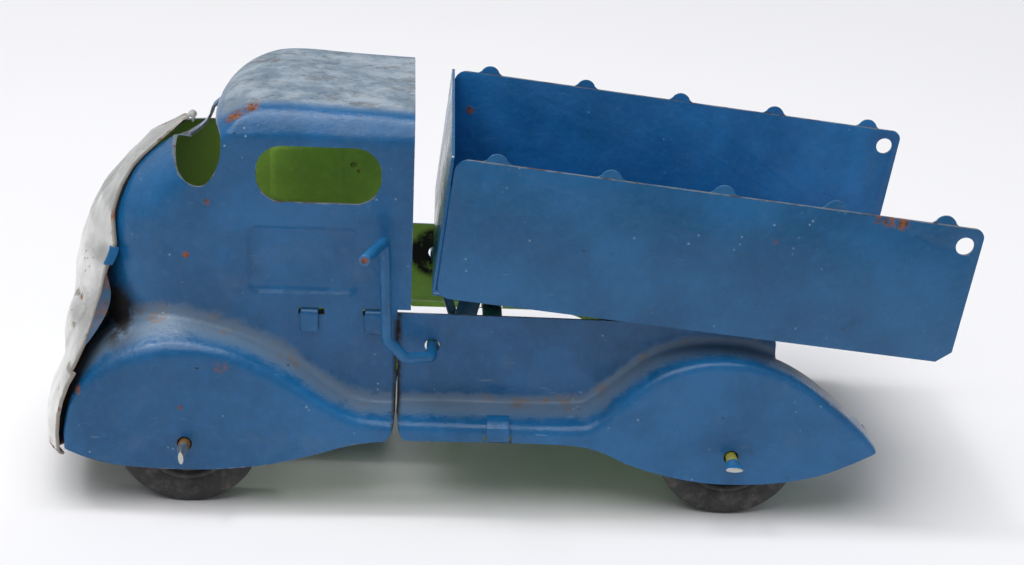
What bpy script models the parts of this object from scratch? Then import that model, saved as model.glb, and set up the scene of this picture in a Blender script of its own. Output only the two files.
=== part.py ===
"""Pressed-steel toy dump truck. Metres, +Z up, front at -X, wheels on Z = 0.

The sheet pieces are drawn about the point midway between the axles, on the truck's centre plane.
The empty "truck" then carries that point to its place beside the origin, which is the middle of
the bounding box on the ground.
"""

import math

import bpy
import bmesh
from mathutils import Matrix, Vector

SHEET = 0.0009
GAP = 0.0004

WHEELBASE = 0.180
WHEEL_RADIUS = 0.0239
WHEEL_WIDTH = 0.0112
WHEEL_OUTER_Y = 0.0539
AXLE_RADIUS = 0.0019
AXLE_END_Y = 0.0675
AXLE_CRIMP_Y = 0.0625

FENDER_Y = 0.0585
CAB_Y = 0.0455
FRAME_Y = 0.0443
FRAME_TOP_Z = 0.0670
FRAME_FRONT_X = -0.056
FRAME_REAR_X = 0.104
BOARD_Z = 0.0352
BOARD_HEM_Z = 0.0270
DECK_Z = 0.0584
DECK_FRONT_X = 0.046

CAB_REAR_X = -0.0178
CAB_LOWER_REAR_X = -0.0217
TAB_X = (-0.0503, -0.0294)
TAB_WIDTH = 0.0058
TAB_LENGTH = 0.0072

BED_TILT = math.radians(6.1)
BED_LENGTH = 0.1715
BED_WIDTH = 0.1106
BED_HEIGHT = 0.0468
BED_FRONT = -0.1087
BED_FLOOR = 0.0032
BUMP_PITCH = 0.0360
BUMP_FIRST = 0.0143
BUMP_COUNT = 5
BUMP_RADIUS = 0.0036
TAIL_HOLE_RADIUS = 0.0030
TAIL_HOLE_INSET = (0.0054, 0.0062)

HINGE_X = 0.0970
HINGE_Z = 0.0622
HINGE_ROD_RADIUS = 0.0012
HINGE_LUG_Y = 0.0370

LEVER_X = -0.0101
LEVER_Z = 0.0550
WIRE_RADIUS = 0.0018
LEVER_HOLE_RADIUS = 0.0026
CRANK_RADIUS = 0.0245
CRANK_ANGLE = math.radians(-72.0)
CRANK_ARM_Y = 0.0400
LEVER_ROD_Y = -0.0565
GRIP_END_Y = -0.0765

LIFT_PIN_X = 0.0085
LIFT_PIN_Z = 0.0678
LIFT_PIN_RADIUS = 0.0010
LINK_WIDTH = 0.0075
LINK_THICKNESS = 0.0012
LINK_EYE_RADIUS = 0.0035
LINK_EYE_OFFSET = (-0.0019, 0.0009)

BRACE_X = (0.0085, 0.0160)

CENTRE_X = 0.0110
CENTRE_Y = -0.0047

BLUE = (0.045, 0.135, 0.300, 1.0)
TIN = (0.72, 0.71, 0.68, 1.0)
STEEL = (0.42, 0.37, 0.30, 1.0)
RUBBER = (0.022, 0.021, 0.020, 1.0)


def clear_scene():
    for old in list(bpy.data.objects):
        bpy.data.objects.remove(old, do_unlink=True)


def make_material(name, colour, roughness, metallic):
    material = bpy.data.materials.new(name)
    material.use_nodes = True
    shader = material.node_tree.nodes["Principled BSDF"]
    shader.inputs["Base Color"].default_value = colour
    shader.inputs["Roughness"].default_value = roughness
    shader.inputs["Metallic"].default_value = metallic
    return material


def add_object(name, points, faces, parent=None):
    mesh = bpy.data.meshes.new(name)
    mesh.from_pydata([tuple(point) for point in points], [], faces)
    work = bmesh.new()
    work.from_mesh(mesh)
    bmesh.ops.recalc_face_normals(work, faces=work.faces)
    work.to_mesh(mesh)
    work.free()
    thing = bpy.data.objects.new(name, mesh)
    bpy.context.scene.collection.objects.link(thing)
    thing.parent = parent
    return thing


def finish(thing, material, smooth_angle=35.0):
    thing.data.materials.append(material)
    thing.data.shade_smooth()
    thing.data.set_sharp_from_angle(angle=math.radians(smooth_angle))


def loft(name, rings, parent=None):
    """A closed solid through rings of equally many points, with flat ends."""
    count = len(rings[0])
    points = [point for ring in rings for point in ring]
    faces = [list(range(count)), [len(points) - count + i for i in range(count)]]
    for level in range(len(rings) - 1):
        low = level * count
        for i in range(count):
            j = (i + 1) % count
            faces.append([low + i, low + j, low + count + j, low + count + i])
    return add_object(name, points, faces, parent)


def prism_y(name, outline, y_low, y_high, parent=None):
    """A side outline of (x, z) points, extruded across the truck."""
    rings = [[(x, y, z) for x, z in outline] for y in (y_low, y_high)]
    return loft(name, rings, parent)


def prism_x(name, outline, x_low, x_high, parent=None):
    """A front outline of (y, z) points, extruded along the truck."""
    rings = [[(x, y, z) for y, z in outline] for x in (x_low, x_high)]
    return loft(name, rings, parent)


def box(name, low, high, parent=None):
    outline = [(low[0], low[2]), (high[0], low[2]), (high[0], high[2]), (low[0], high[2])]
    return prism_y(name, outline, low[1], high[1], parent)


def circle(centre, radius, count=20, start=0.0, sweep=math.tau):
    """Points of an arc; a full circle leaves out its repeated last point."""
    steps = count if sweep >= math.tau else count - 1
    angles = [start + sweep * i / steps for i in range(count)]
    return [(centre[0] + radius * math.cos(a), centre[1] + radius * math.sin(a)) for a in angles]


def stadium(low, high, radius, count=7):
    """A rectangle with round corners, from its low corner to its high corner."""
    corners = [
        ((high[0] - radius, high[1] - radius), 0.0),
        ((low[0] + radius, high[1] - radius), 0.5 * math.pi),
        ((low[0] + radius, low[1] + radius), math.pi),
        ((high[0] - radius, low[1] + radius), 1.5 * math.pi),
    ]
    points = []
    for centre, start in corners:
        points += circle(centre, radius, count, start, 0.5 * math.pi)
    return points


def smooth_line(controls, steps=2):
    """A Catmull-Rom curve through the controls, ends included."""
    knots = [Vector(point) for point in controls]
    knots = [2 * knots[0] - knots[1]] + knots + [2 * knots[-1] - knots[-2]]
    line = []
    for a, b, c, d in zip(knots, knots[1:], knots[2:], knots[3:]):
        for step in range(steps):
            t = step / steps
            line.append(
                0.5
                * (
                    2 * b
                    + (c - a) * t
                    + (2 * a - 5 * b + 4 * c - d) * t**2
                    + (3 * b - a - 3 * c + d) * t**3
                )
            )
    line.append(knots[-2])
    return [tuple(point) for point in line]


def join(target, other):
    """Adds the other solid to the target, as one body."""
    add_boolean(target, other, "UNION")


def cut(target, other):
    add_boolean(target, other, "DIFFERENCE")


def add_boolean(target, other, operation):
    modifier = target.modifiers.new(operation.lower() + "_" + other.name, "BOOLEAN")
    modifier.operation = operation
    modifier.solver = "EXACT"
    modifier.object = other
    other.hide_render = True
    other.display_type = "WIRE"


# The nose: height, front of the cab at the centre plane, and where its side starts to turn in.
NOSE = (
    (0.034, -0.1310, -0.088),
    (0.060, -0.1312, -0.088),
    (0.076, -0.1295, -0.088),
    (0.086, -0.1263, -0.088),
    (0.094, -0.1220, -0.088),
    (0.1017, -0.1155, -0.087),
    (0.1065, -0.1103, -0.086),
    (0.111, -0.1034, -0.085),
    (0.115, -0.0975, -0.083),
    (0.119, -0.0923, -0.080),
    (0.1225, -0.0885, -0.077),
)
ROOF_FRONT_Z = 0.1352
ROOF_REAR_Z = 0.1322
ROOF_CENTRE_X = -0.0690
SHOULDER = 0.0075
FRONT_STEPS = 12


def cab_ring(half_width, front_x, turn_x, front_z, rear_x, rear_z):
    """One level of the cab: straight sides and a front that is half an ellipse in plan."""
    ring = [(rear_x, -half_width, rear_z)]
    for i in range(FRONT_STEPS + 1):
        angle = math.pi * i / FRONT_STEPS
        y = -half_width * math.cos(angle)
        x = turn_x + (front_x - turn_x) * math.sin(angle)
        share = (x - rear_x) / (front_x - rear_x)
        ring.append((x, y, rear_z + (front_z - rear_z) * share))
    ring.append((rear_x, half_width, rear_z))
    return ring


def cab_block(name, inset, rear_x, bottom_z, parent):
    """The cab's outside as a solid, or with an inset its inside."""
    rings = []
    for height, front_x, turn_x in NOSE:
        z = bottom_z if height == NOSE[0][0] else height
        rings.append(cab_ring(CAB_Y - inset, front_x + inset, turn_x, z, rear_x, z))
    radius = SHOULDER
    for step in range(4):
        angle = 0.5 * math.pi * step / 3
        drop = radius * (1.0 - math.sin(angle)) + inset
        side = CAB_Y - inset - radius * (1.0 - math.cos(angle))
        front_x = ROOF_CENTRE_X - 0.0148 + 0.0148 * (1.0 - math.cos(angle)) + inset
        turn_x = -0.076 + 0.012 * (1.0 - math.cos(angle))
        rings.append(cab_ring(side, front_x, turn_x, ROOF_FRONT_Z - drop, rear_x, ROOF_REAR_Z - drop))
    return loft(name, rings, parent)


FRONT_CREST = ((-0.1293, 0.0265), (-0.1265, 0.0370), (-0.1205, 0.0455), (-0.109, 0.0525),
               (-0.095, 0.0565), (-0.081, 0.0567), (-0.070, 0.0535), (-0.058, 0.0468),
               (-0.044, 0.0380), (-0.034, 0.0335), (-0.022, 0.0318))
FRONT_CREASE = ((-0.1293, 0.0330), (-0.1265, 0.0430), (-0.1205, 0.0520), (-0.109, 0.0598),
                (-0.095, 0.0635), (-0.081, 0.0607), (-0.070, 0.0570), (-0.058, 0.0510),
                (-0.044, 0.0403), (-0.034, 0.0357), (-0.022, 0.0350))
FRONT_HEM = ((-0.022, 0.0266), (-0.035, 0.0250), (-0.050, 0.0203), (-0.063, 0.0170),
             (-0.078, 0.0150), (-0.093, 0.0145), (-0.109, 0.0153), (-0.1195, 0.0172), (-0.1293, 0.0210))
REAR_CREST = ((-0.0213, 0.0326), (0.034, 0.0322), (0.044, 0.0335), (0.052, 0.0408), (0.062, 0.0500),
              (0.072, 0.0553), (0.084, 0.0577), (0.097, 0.0566), (0.110, 0.0514), (0.122, 0.0430),
              (0.1325, 0.0342), (0.1380, 0.0280))
REAR_CREASE = ((-0.0213, 0.0352), (0.034, 0.0354), (0.044, 0.0385), (0.052, 0.0455), (0.062, 0.0535),
               (0.072, 0.0573), (0.084, 0.0588), (0.097, 0.0573), (0.110, 0.0520), (0.122, 0.0436),
               (0.1325, 0.0346), (0.1380, 0.0282))
REAR_HEM = ((0.1380, 0.0266), (0.131, 0.0228), (0.121, 0.0182), (0.108, 0.0150), (0.094, 0.0138),
            (0.081, 0.0142), (0.067, 0.0168), (0.056, 0.0202), (0.044, 0.0254), (0.028, BOARD_HEM_Z),
            (-0.0213, BOARD_HEM_Z))
CREST_ROUND = 0.0030


def skirt(name, crest, crease, hem, inner_y, drop, parent, side_y=FENDER_Y, hem_z=None):
    """A fender and its board: a side outline at the outer face that rises towards the frame."""
    top_outer = smooth_line(crest)
    top_inner = smooth_line(crease)
    lower = smooth_line(hem) if hem_z is None else [(crest[-1][0], hem_z), (crest[0][0], hem_z)]
    rings = []
    for y, low_by, share in (
        (side_y, CREST_ROUND, 0.0),
        (side_y - 0.3 * CREST_ROUND, 0.3 * CREST_ROUND, 0.08),
        (side_y - CREST_ROUND, 0.0, 0.3),
        (CAB_Y, 0.0, 1.0),
        (inner_y, 0.0, 1.0),
    ):
        ring = []
        for (x, z_outer), (_, z_inner) in zip(top_outer, top_inner):
            z = z_outer + (z_inner - z_outer) * share - low_by - drop
            ring.append((x, y, max(z, lower_z(lower, x) + 0.0012)))
        ring += [(x, y, z) for x, z in lower]
        rings.append(ring)
    return loft(name, rings, parent)


def lower_z(line, x):
    """The height of a line of (x, z) points at one x."""
    ordered = sorted(line)
    for (x0, z0), (x1, z1) in zip(ordered, ordered[1:]):
        if x0 <= x <= x1 and x1 > x0:
            return z0 + (z1 - z0) * (x - x0) / (x1 - x0)
    return ordered[0][1] if x < ordered[0][0] else ordered[-1][1]


def mirrored(source, name):
    """A copy of a solid on the truck's other side."""
    mesh = source.data.copy()
    mesh.transform(Matrix.Scale(-1, 4, Vector((0, 1, 0))))
    mesh.flip_normals()
    copy = bpy.data.objects.new(name, mesh)
    bpy.context.scene.collection.objects.link(copy)
    copy.parent = source.parent
    return copy


def rod_cutter(name, x, z, radius, y_low, y_high, parent):
    return prism_y(name, circle((x, z), radius), y_low, y_high, parent)


def build_cab(parent, material):
    cab = cab_block("cab_shell", 0.0, CAB_REAR_X, 0.034, parent)
    fender = skirt("cab_fender_right", FRONT_CREST, FRONT_CREASE, FRONT_HEM, 0.020, 0.0, parent)
    join(cab, fender)
    join(cab, mirrored(fender, "cab_fender_left"))
    cut(cab, cab_block("cab_inside", SHEET, CAB_REAR_X + 0.02, 0.010, parent))
    well = skirt("fender_well_right", FRONT_CREST, FRONT_CREASE, FRONT_HEM, -0.001, SHEET, parent,
                 FENDER_Y - SHEET, -0.010)
    for point in well.data.vertices:
        if point.co.x < -0.1292:
            point.co.x = -0.150
        if point.co.x > -0.0221:
            point.co.x = -0.010
    cut(cab, well)
    cut(cab, mirrored(well, "fender_well_left"))
    mouth = [(y, z) for y, z in shield_outline(0.0030)]
    cut(cab, prism_x("nose_mouth", mouth, -0.160, -0.093, parent))
    cut(cab, prism_y("side_windows", stadium((-0.0674, 0.1040), (-0.0276, 0.1225), 0.0082),
                     -0.07, 0.07, parent))
    for side, low, high in (("left", -0.07, -0.0030), ("right", 0.0030, 0.07)):
        cut(cab, prism_y("windscreen_" + side, windscreen_outline(), low, high, parent))
    cut(cab, box("cab_rear_notch", (CAB_LOWER_REAR_X, -0.07, 0.0), (0.0, 0.07, 0.0680), parent))
    for index, x in enumerate(TAB_X):
        half = 0.5 * TAB_WIDTH + 0.0006
        cut(cab, box(f"cab_slot_{index}", (x - half, -0.07, 0.0661), (x + half, 0.07, 0.0686), parent))
    cut(cab, rod_cutter("front_axle_hole", -0.5 * WHEELBASE, WHEEL_RADIUS, AXLE_RADIUS + GAP,
                        -0.07, 0.07, parent))
    finish(cab, material)
    return cab


def windscreen_outline():
    """Side view of the windscreen openings: a U that runs out over the front."""
    bowl = smooth_line(((-0.0975, 0.1165), (-0.0960, 0.1122), (-0.0915, 0.1085), (-0.0862, 0.1073),
                        (-0.0810, 0.1092), (-0.0778, 0.1145), (-0.0772, 0.1210), (-0.0800, 0.1285)))
    return bowl + [(-0.0850, 0.1320), (-0.1200, 0.1320), (-0.1200, 0.1165)]


# The front plate below the nose: height, half width, centre x and edge x.
PLATE_LOW = (
    (0.0170, 0.0550, -0.1400, -0.1318),
    (0.0195, 0.0578, -0.1424, -0.1330),
    (0.0260, 0.0585, -0.1420, -0.1330),
    (0.0325, 0.0585, -0.1388, -0.1324),
    (0.0380, 0.0585, -0.1356, -0.1308),
    (0.0440, 0.0583, -0.1348, -0.1283),
    (0.0500, 0.0575, -0.1344, -0.1250),
    (0.0560, 0.0535, -0.1340, -0.1222),
    (0.0620, 0.0455, -0.1335, -0.1205),
    (0.0690, 0.0415, -0.1330, -0.1186),
)
# The front plate on the nose, where it follows the cab: height and half width.
PLATE_HIGH = (
    (0.0780, 0.0388),
    (0.0860, 0.0362),
    (0.0940, 0.0318),
    (0.1017, 0.0258),
    (0.1065, 0.0195),
    (0.1110, 0.0130),
    (0.1152, 0.0070),
    (0.1180, 0.0035),
)
PLATE_STAND_OFF = 0.0016
PLATE_EDGE_LIFT = 0.0014
PLATE_STEPS = 10


def shield_outline(margin):
    """The cab's front mouth, a little narrower than the plate that covers it."""
    levels = [(row[1] - margin, row[0]) for row in PLATE_LOW + PLATE_HIGH if 0.050 <= row[0] <= 0.112]
    right = [(0.0400, 0.0)] + [(min(half, 0.0400), z) for half, z in levels]
    return right + [(-y, z) for y, z in reversed(right)]


def nose_x(y, z):
    """The cab's front surface at one side distance and height."""
    for (z0, front0, turn0), (z1, front1, turn1) in zip(NOSE, NOSE[1:]):
        if z <= z1:
            break
    share = (z - z0) / (z1 - z0)
    front = front0 + (front1 - front0) * share
    turn = turn0 + (turn1 - turn0) * share
    return turn + (front - turn) * math.sqrt(1.0 - (y / CAB_Y) ** 2)


def build_grille(parent, material):
    """The front plate as a bowed sheet, given its thickness inwards."""
    points = []
    shares = [2.0 * i / PLATE_STEPS - 1.0 for i in range(PLATE_STEPS + 1)]
    for z, half, centre_x, edge_x in PLATE_LOW:
        for share in shares:
            x = edge_x + (centre_x - edge_x) * (1.0 - abs(share) ** 2.2)
            points.append((x, half * share, z))
    for z, half in PLATE_HIGH:
        for share in shares:
            x = nose_x(half * share, z) - PLATE_STAND_OFF - PLATE_EDGE_LIFT * share**2
            points.append((x, half * share, z))
    row = PLATE_STEPS + 1
    faces = []
    for level in range(len(PLATE_LOW + PLATE_HIGH) - 1):
        for i in range(PLATE_STEPS):
            a = level * row + i
            faces.append([a, a + row, a + row + 1, a + 1])
    plate = add_object("grille_plate", points, faces, parent)
    if plate.data.polygons[0].normal.x > 0:
        plate.data.flip_normals()
    solid = plate.modifiers.new("thickness", "SOLIDIFY")
    solid.thickness = 0.0008
    solid.offset = -1.0
    finish(plate, material)
    return plate


def build_chassis(parent, material):
    """Frame sides, running boards and rear fenders in one sheet, with a deck under the bed."""
    rear = FRAME_REAR_X
    corner = circle((rear - 0.006, 0.0584), 0.006, 6, 0.0, 0.5 * math.pi)
    side = [(FRAME_FRONT_X, 0.0340), (rear, 0.0340)] + corner
    side += [(DECK_FRONT_X, 0.0658), (FRAME_FRONT_X, FRAME_TOP_Z)]
    frame = prism_y("chassis", side, -FRAME_Y, FRAME_Y, parent)
    rear_skirt = skirt("skirt_right", REAR_CREST, REAR_CREASE, REAR_HEM, FRAME_Y - SHEET, 0.0, parent)
    join(frame, rear_skirt)
    join(frame, mirrored(rear_skirt, "skirt_left"))
    inner = FRAME_Y - SHEET
    cut(frame, box("frame_well", (-0.1, -inner, -0.01), (DECK_FRONT_X, inner, 0.09), parent))
    cut(frame, box("deck_well", (DECK_FRONT_X - 0.001, -inner, DECK_Z), (0.2, inner, 0.09), parent))
    cut(frame, box("deck_underside", (DECK_FRONT_X - 0.001, -inner, -0.01),
                   (0.2, inner, DECK_Z - SHEET), parent))
    well = skirt("skirt_well_right", REAR_CREST, REAR_CREASE, REAR_HEM, 0.030, SHEET, parent,
                 FENDER_Y - SHEET, -0.010)
    for point in well.data.vertices:
        if point.co.x < -0.0212:
            point.co.x = -0.060
    cut(frame, well)
    cut(frame, mirrored(well, "skirt_well_left"))
    cut(frame, rod_cutter("rear_axle_hole", 0.5 * WHEELBASE, WHEEL_RADIUS, AXLE_RADIUS + GAP,
                          -0.07, 0.07, parent))
    cut(frame, rod_cutter("lever_holes", LEVER_X, LEVER_Z, LEVER_HOLE_RADIUS, -0.07, 0.07, parent))
    cut(frame, rod_cutter("hinge_holes", HINGE_X, HINGE_Z, HINGE_ROD_RADIUS + 0.0003,
                          -0.07, 0.07, parent))
    cut(frame, box("frame_front_low", (-0.10, -0.07, 0.0), (-0.0219, 0.07, 0.0545), parent))
    for side_name, sign in (("left", -1), ("right", 1)):
        for index, x in enumerate(TAB_X):
            join(frame, folded_tab(f"tab_{side_name}_{index}", x, sign, parent))
    finish(frame, material)
    return frame


def folded_tab(name, x, sign, parent):
    """A tab that leaves the frame's top edge, passes the cab's slot and turns down outside it."""
    inner = FRAME_Y - 0.0005
    outer = CAB_Y + GAP + 0.0008
    top = FRAME_TOP_Z + 0.0006
    section = [
        (inner, top - SHEET),
        (CAB_Y + GAP, top - SHEET),
        (CAB_Y + GAP, top - TAB_LENGTH),
        (outer, top - TAB_LENGTH),
        (outer, top),
        (inner, top),
    ]
    outline = [(sign * y, z) for y, z in section]
    return prism_x(name, outline, x - 0.5 * TAB_WIDTH, x + 0.5 * TAB_WIDTH, parent)


def strip_outline(line, thickness):
    """A polyline given a thickness on both sides, with mitred corners."""
    knots = [Vector(point) for point in line]
    left, right = [], []
    for index, knot in enumerate(knots):
        ways = []
        if index > 0:
            ways.append((knot - knots[index - 1]).normalized())
        if index < len(knots) - 1:
            ways.append((knots[index + 1] - knot).normalized())
        normals = [Vector((-way.y, way.x)) for way in ways]
        mitre = sum(normals, Vector((0.0, 0.0))).normalized()
        reach = 0.5 * thickness / mitre.dot(normals[0])
        left.append(tuple(knot + mitre * reach))
        right.append(tuple(knot - mitre * reach))
    return left + right[::-1]


def build_brace(parent, material):
    """A strap under the running boards with its ends lapped up round their hems."""
    half = [(0.0440, BOARD_Z - 0.0023), (0.0554, BOARD_Z - 0.0046), (0.0565, BOARD_HEM_Z - 0.0008),
            (0.0593, BOARD_HEM_Z - 0.0008), (0.0593, BOARD_HEM_Z + 0.0052)]
    line = [(-y, z) for y, z in reversed(half)] + half
    strap = prism_x("chassis_brace", strip_outline(line, 0.0008), BRACE_X[0], BRACE_X[1], parent)
    finish(strap, material)
    return strap


def bed_side_outline():
    """The bed's side in its own frame: a chamfered lower rear corner and a round front one."""
    left = BED_FRONT
    right = BED_FRONT + BED_LENGTH
    top = BED_FLOOR + BED_HEIGHT
    outline = circle((left + 0.004, BED_FLOOR + 0.004), 0.004, 5, math.pi, 0.5 * math.pi)
    outline += [(right - 0.0052, BED_FLOOR), (right - 0.0006, BED_FLOOR + 0.0040)]
    outline += circle((right - 0.003, top - 0.003), 0.003, 5, 0.0, 0.5 * math.pi)
    return outline + [(left, top)]


def build_bed(parent, material):
    """The tipping bed, drawn with its hinge axis as its own origin."""
    half = 0.5 * BED_WIDTH
    top = BED_FLOOR + BED_HEIGHT
    rear = BED_FRONT + BED_LENGTH
    bed = prism_y("dump_bed", bed_side_outline(), -half, half, parent)
    bed.location = (HINGE_X, 0.0, HINGE_Z)
    bed.rotation_euler = (0.0, BED_TILT, 0.0)
    for index in range(BUMP_COUNT):
        x = BED_FRONT + BUMP_FIRST + BUMP_PITCH * index
        join(bed, prism_y(f"bumps_{index}", circle((x, top - 0.0006), BUMP_RADIUS, 14), -half, half, bed))
    hollow = box("bed_hollow", (BED_FRONT + SHEET, -half + SHEET, BED_FLOOR + SHEET),
                 (rear + 0.02, half - SHEET, top + 0.02), bed)
    cut(bed, hollow)
    hole = (rear - TAIL_HOLE_INSET[0], top - TAIL_HOLE_INSET[1])
    cut(bed, prism_y("tailgate_holes", circle(hole, TAIL_HOLE_RADIUS), -half - 0.01, half + 0.01, bed))
    for side, sign in (("left", -1), ("right", 1)):
        y = sign * HINGE_LUG_Y
        ear = prism_y("hinge_lug_" + side, lug_outline(0.0, 0.0, 0.0028), y - 0.0005, y + 0.0005, bed)
        join(bed, ear)
        cut(bed, prism_y("hinge_eye_" + side, circle((0.0, 0.0), HINGE_ROD_RADIUS + 0.0003),
                         y - 0.002, y + 0.002, bed))
    pin = bed_point(LIFT_PIN_X, LIFT_PIN_Z)
    for side, sign in (("left", -1), ("right", 1)):
        y = sign * 0.0040
        join(bed, prism_y("lift_ear_" + side, lug_outline(pin[0], pin[1], 0.0030),
                          y - 0.0005, y + 0.0005, bed))
    join(bed, prism_y("lift_pin", circle(pin, LIFT_PIN_RADIUS, 12), -0.0044, 0.0044, bed))
    finish(bed, material)
    return bed


def bed_point(x, z):
    """A point of the truck's side view in the bed's own frame."""
    right = x - HINGE_X
    up = z - HINGE_Z
    cos, sin = math.cos(BED_TILT), math.sin(BED_TILT)
    return (right * cos - up * sin, right * sin + up * cos)


def lug_outline(x, z, radius):
    """An ear that hangs from the bed's floor round a pivot at x, z."""
    outline = circle((x, z), radius, 9, math.pi, math.pi)
    return outline + [(x + radius + 0.0008, BED_FLOOR + 0.0004), (x - radius - 0.0008, BED_FLOOR + 0.0004)]


def tube(name, route, radius, parent, sides=3):
    """A round bar along a list of points, as a bevelled curve with closed ends."""
    curve = bpy.data.curves.new(name, "CURVE")
    curve.dimensions = "3D"
    curve.bevel_depth = radius
    curve.bevel_resolution = sides
    curve.use_fill_caps = True
    spline = curve.splines.new("POLY")
    spline.points.add(len(route) - 1)
    for point, place in zip(spline.points, route):
        point.co = (*place, 1.0)
    bar = bpy.data.objects.new(name, curve)
    bpy.context.scene.collection.objects.link(bar)
    bar.parent = parent
    return bar


def rounded_route(corners, radius, steps=3):
    """The corner points of a bent wire, with each inner corner turned into an arc."""
    route = [Vector(corners[0])]
    for before, here, after in zip(corners, corners[1:], corners[2:]):
        here = Vector(here)
        back = (Vector(before) - here).normalized()
        ahead = (Vector(after) - here).normalized()
        half_turn = 0.5 * back.angle(ahead)
        reach = radius / math.tan(half_turn)
        centre = here + (back + ahead).normalized() * (radius / math.sin(half_turn))
        start = here + back * reach - centre
        end = here + ahead * reach - centre
        sweep = start.angle(end)
        for step in range(steps + 1):
            done = sweep * step / steps
            arm = (start * math.sin(sweep - done) + end * math.sin(done)) / math.sin(sweep)
            route.append(centre + arm)
    route.append(Vector(corners[-1]))
    return [tuple(point) for point in route]


def crank_bar():
    """The crank's cross bar in side view, from the lever's own axis."""
    return (CRANK_RADIUS * math.cos(CRANK_ANGLE), CRANK_RADIUS * math.sin(CRANK_ANGLE))


def build_lever(parent, material):
    """One bent wire: grip, handle, elbow, near arm, cross bar, far arm and far pivot."""
    x, z = crank_bar()
    corners = (
        (-0.0190, GRIP_END_Y, 0.0385),
        (-0.0158, LEVER_ROD_Y, 0.0408),
        (-0.0146, LEVER_ROD_Y, 0.0070),
        (-0.0085, LEVER_ROD_Y, 0.0008),
        (0.0, LEVER_ROD_Y + 0.0035, 0.0),
        (0.0, -CRANK_ARM_Y, 0.0),
        (x, -CRANK_ARM_Y + 0.001, z),
        (x, CRANK_ARM_Y - 0.001, z),
        (0.0, CRANK_ARM_Y, 0.0),
        (0.0, FRAME_Y + 0.0030, 0.0),
    )
    lever = tube("lever_crank", rounded_route(corners, 0.0024), WIRE_RADIUS, parent)
    lever.location = (LEVER_X, 0.0, LEVER_Z)
    lever.data.materials.append(material)
    return lever


def build_link(parent, material):
    """The strap from the crank's cross bar up to a wide eye, in which the bed's pin floats."""
    bar = crank_bar()
    foot = (LEVER_X + bar[0], LEVER_Z + bar[1])
    eye = (LIFT_PIN_X + LINK_EYE_OFFSET[0] - foot[0], LIFT_PIN_Z + LINK_EYE_OFFSET[1] - foot[1])
    length = math.hypot(*eye)
    half = 0.5 * LINK_WIDTH
    head = LINK_EYE_RADIUS + 0.0013
    outline = circle((0.0, 0.0), half, 12, math.pi, math.pi)
    outline += circle((0.0, length), head, 14, -0.21 * math.pi, 1.42 * math.pi)
    link = prism_y("lift_link", outline, -0.5 * LINK_THICKNESS, 0.5 * LINK_THICKNESS, parent)
    cut(link, prism_y("link_foot_eye", circle((0.0, 0.0), WIRE_RADIUS + 0.0003), -0.01, 0.01, link))
    cut(link, prism_y("link_eye", circle((0.0, length), LINK_EYE_RADIUS), -0.01, 0.01, link))
    link.location = (foot[0], 0.0, foot[1])
    link.rotation_euler = (0.0, math.atan2(*eye), 0.0)
    finish(link, material)
    return link


def build_axle(name, x, tall, parent, material):
    """A rod whose two ends are crimped flat, upright or level."""
    rings = []
    for y, width, height in (
        (-AXLE_END_Y, 0.45, 1.60),
        (-AXLE_CRIMP_Y, 0.60, 1.45),
        (-FENDER_Y - 0.001, 1.0, 1.0),
        (FENDER_Y + 0.001, 1.0, 1.0),
        (AXLE_CRIMP_Y, 0.60, 1.45),
        (AXLE_END_Y, 0.45, 1.60),
    ):
        across, up = (width, height) if tall else (height, width)
        ring = circle((0.0, 0.0), AXLE_RADIUS, 14)
        rings.append([(px * across, y, pz * up) for px, pz in ring])
    axle = loft(name, rings, parent)
    axle.location = (x, 0.0, WHEEL_RADIUS)
    finish(axle, material)
    return axle


def build_wheel(name, x, sign, parent, material):
    """A solid rubber wheel: a round tread, a sunk side with a raised ring, and a hub."""
    half = 0.5 * WHEEL_WIDTH
    radius = WHEEL_RADIUS
    bore = AXLE_RADIUS + 0.0003
    section = [(bore, half - 0.0006), (0.0062, half - 0.0006), (0.0070, half - 0.0020),
               (0.0134, half - 0.0020), (0.0146, half - 0.0006)]
    section += [(radius - 0.0040 + 0.0040 * math.sin(a), half - 0.0040 + 0.0040 * math.cos(a))
                for a in (0.0, math.pi * 0.25, math.pi * 0.5)]
    profile = section + [(r, -y) for r, y in reversed(section)]
    steps = 32
    rings = []
    for i in range(steps):
        angle = math.tau * i / steps
        rings.append([(r * math.cos(angle), y, r * math.sin(angle)) for r, y in profile])
    count = len(profile)
    points = [point for ring in rings for point in ring]
    faces = []
    for i in range(steps):
        near = i * count
        far = ((i + 1) % steps) * count
        for j in range(count):
            k = (j + 1) % count
            faces.append([near + j, near + k, far + k, far + j])
    wheel = add_object(name, points, faces, parent)
    wheel.location = (x, sign * (WHEEL_OUTER_Y - half), WHEEL_RADIUS)
    finish(wheel, material)
    return wheel


def build_hinge_rod(parent, material):
    rod = prism_y("hinge_rod", circle((0.0, 0.0), HINGE_ROD_RADIUS, 14), -FRAME_Y - 0.0012,
                  FRAME_Y + 0.0012, parent)
    rod.location = (HINGE_X, 0.0, HINGE_Z)
    finish(rod, material)
    return rod


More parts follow.
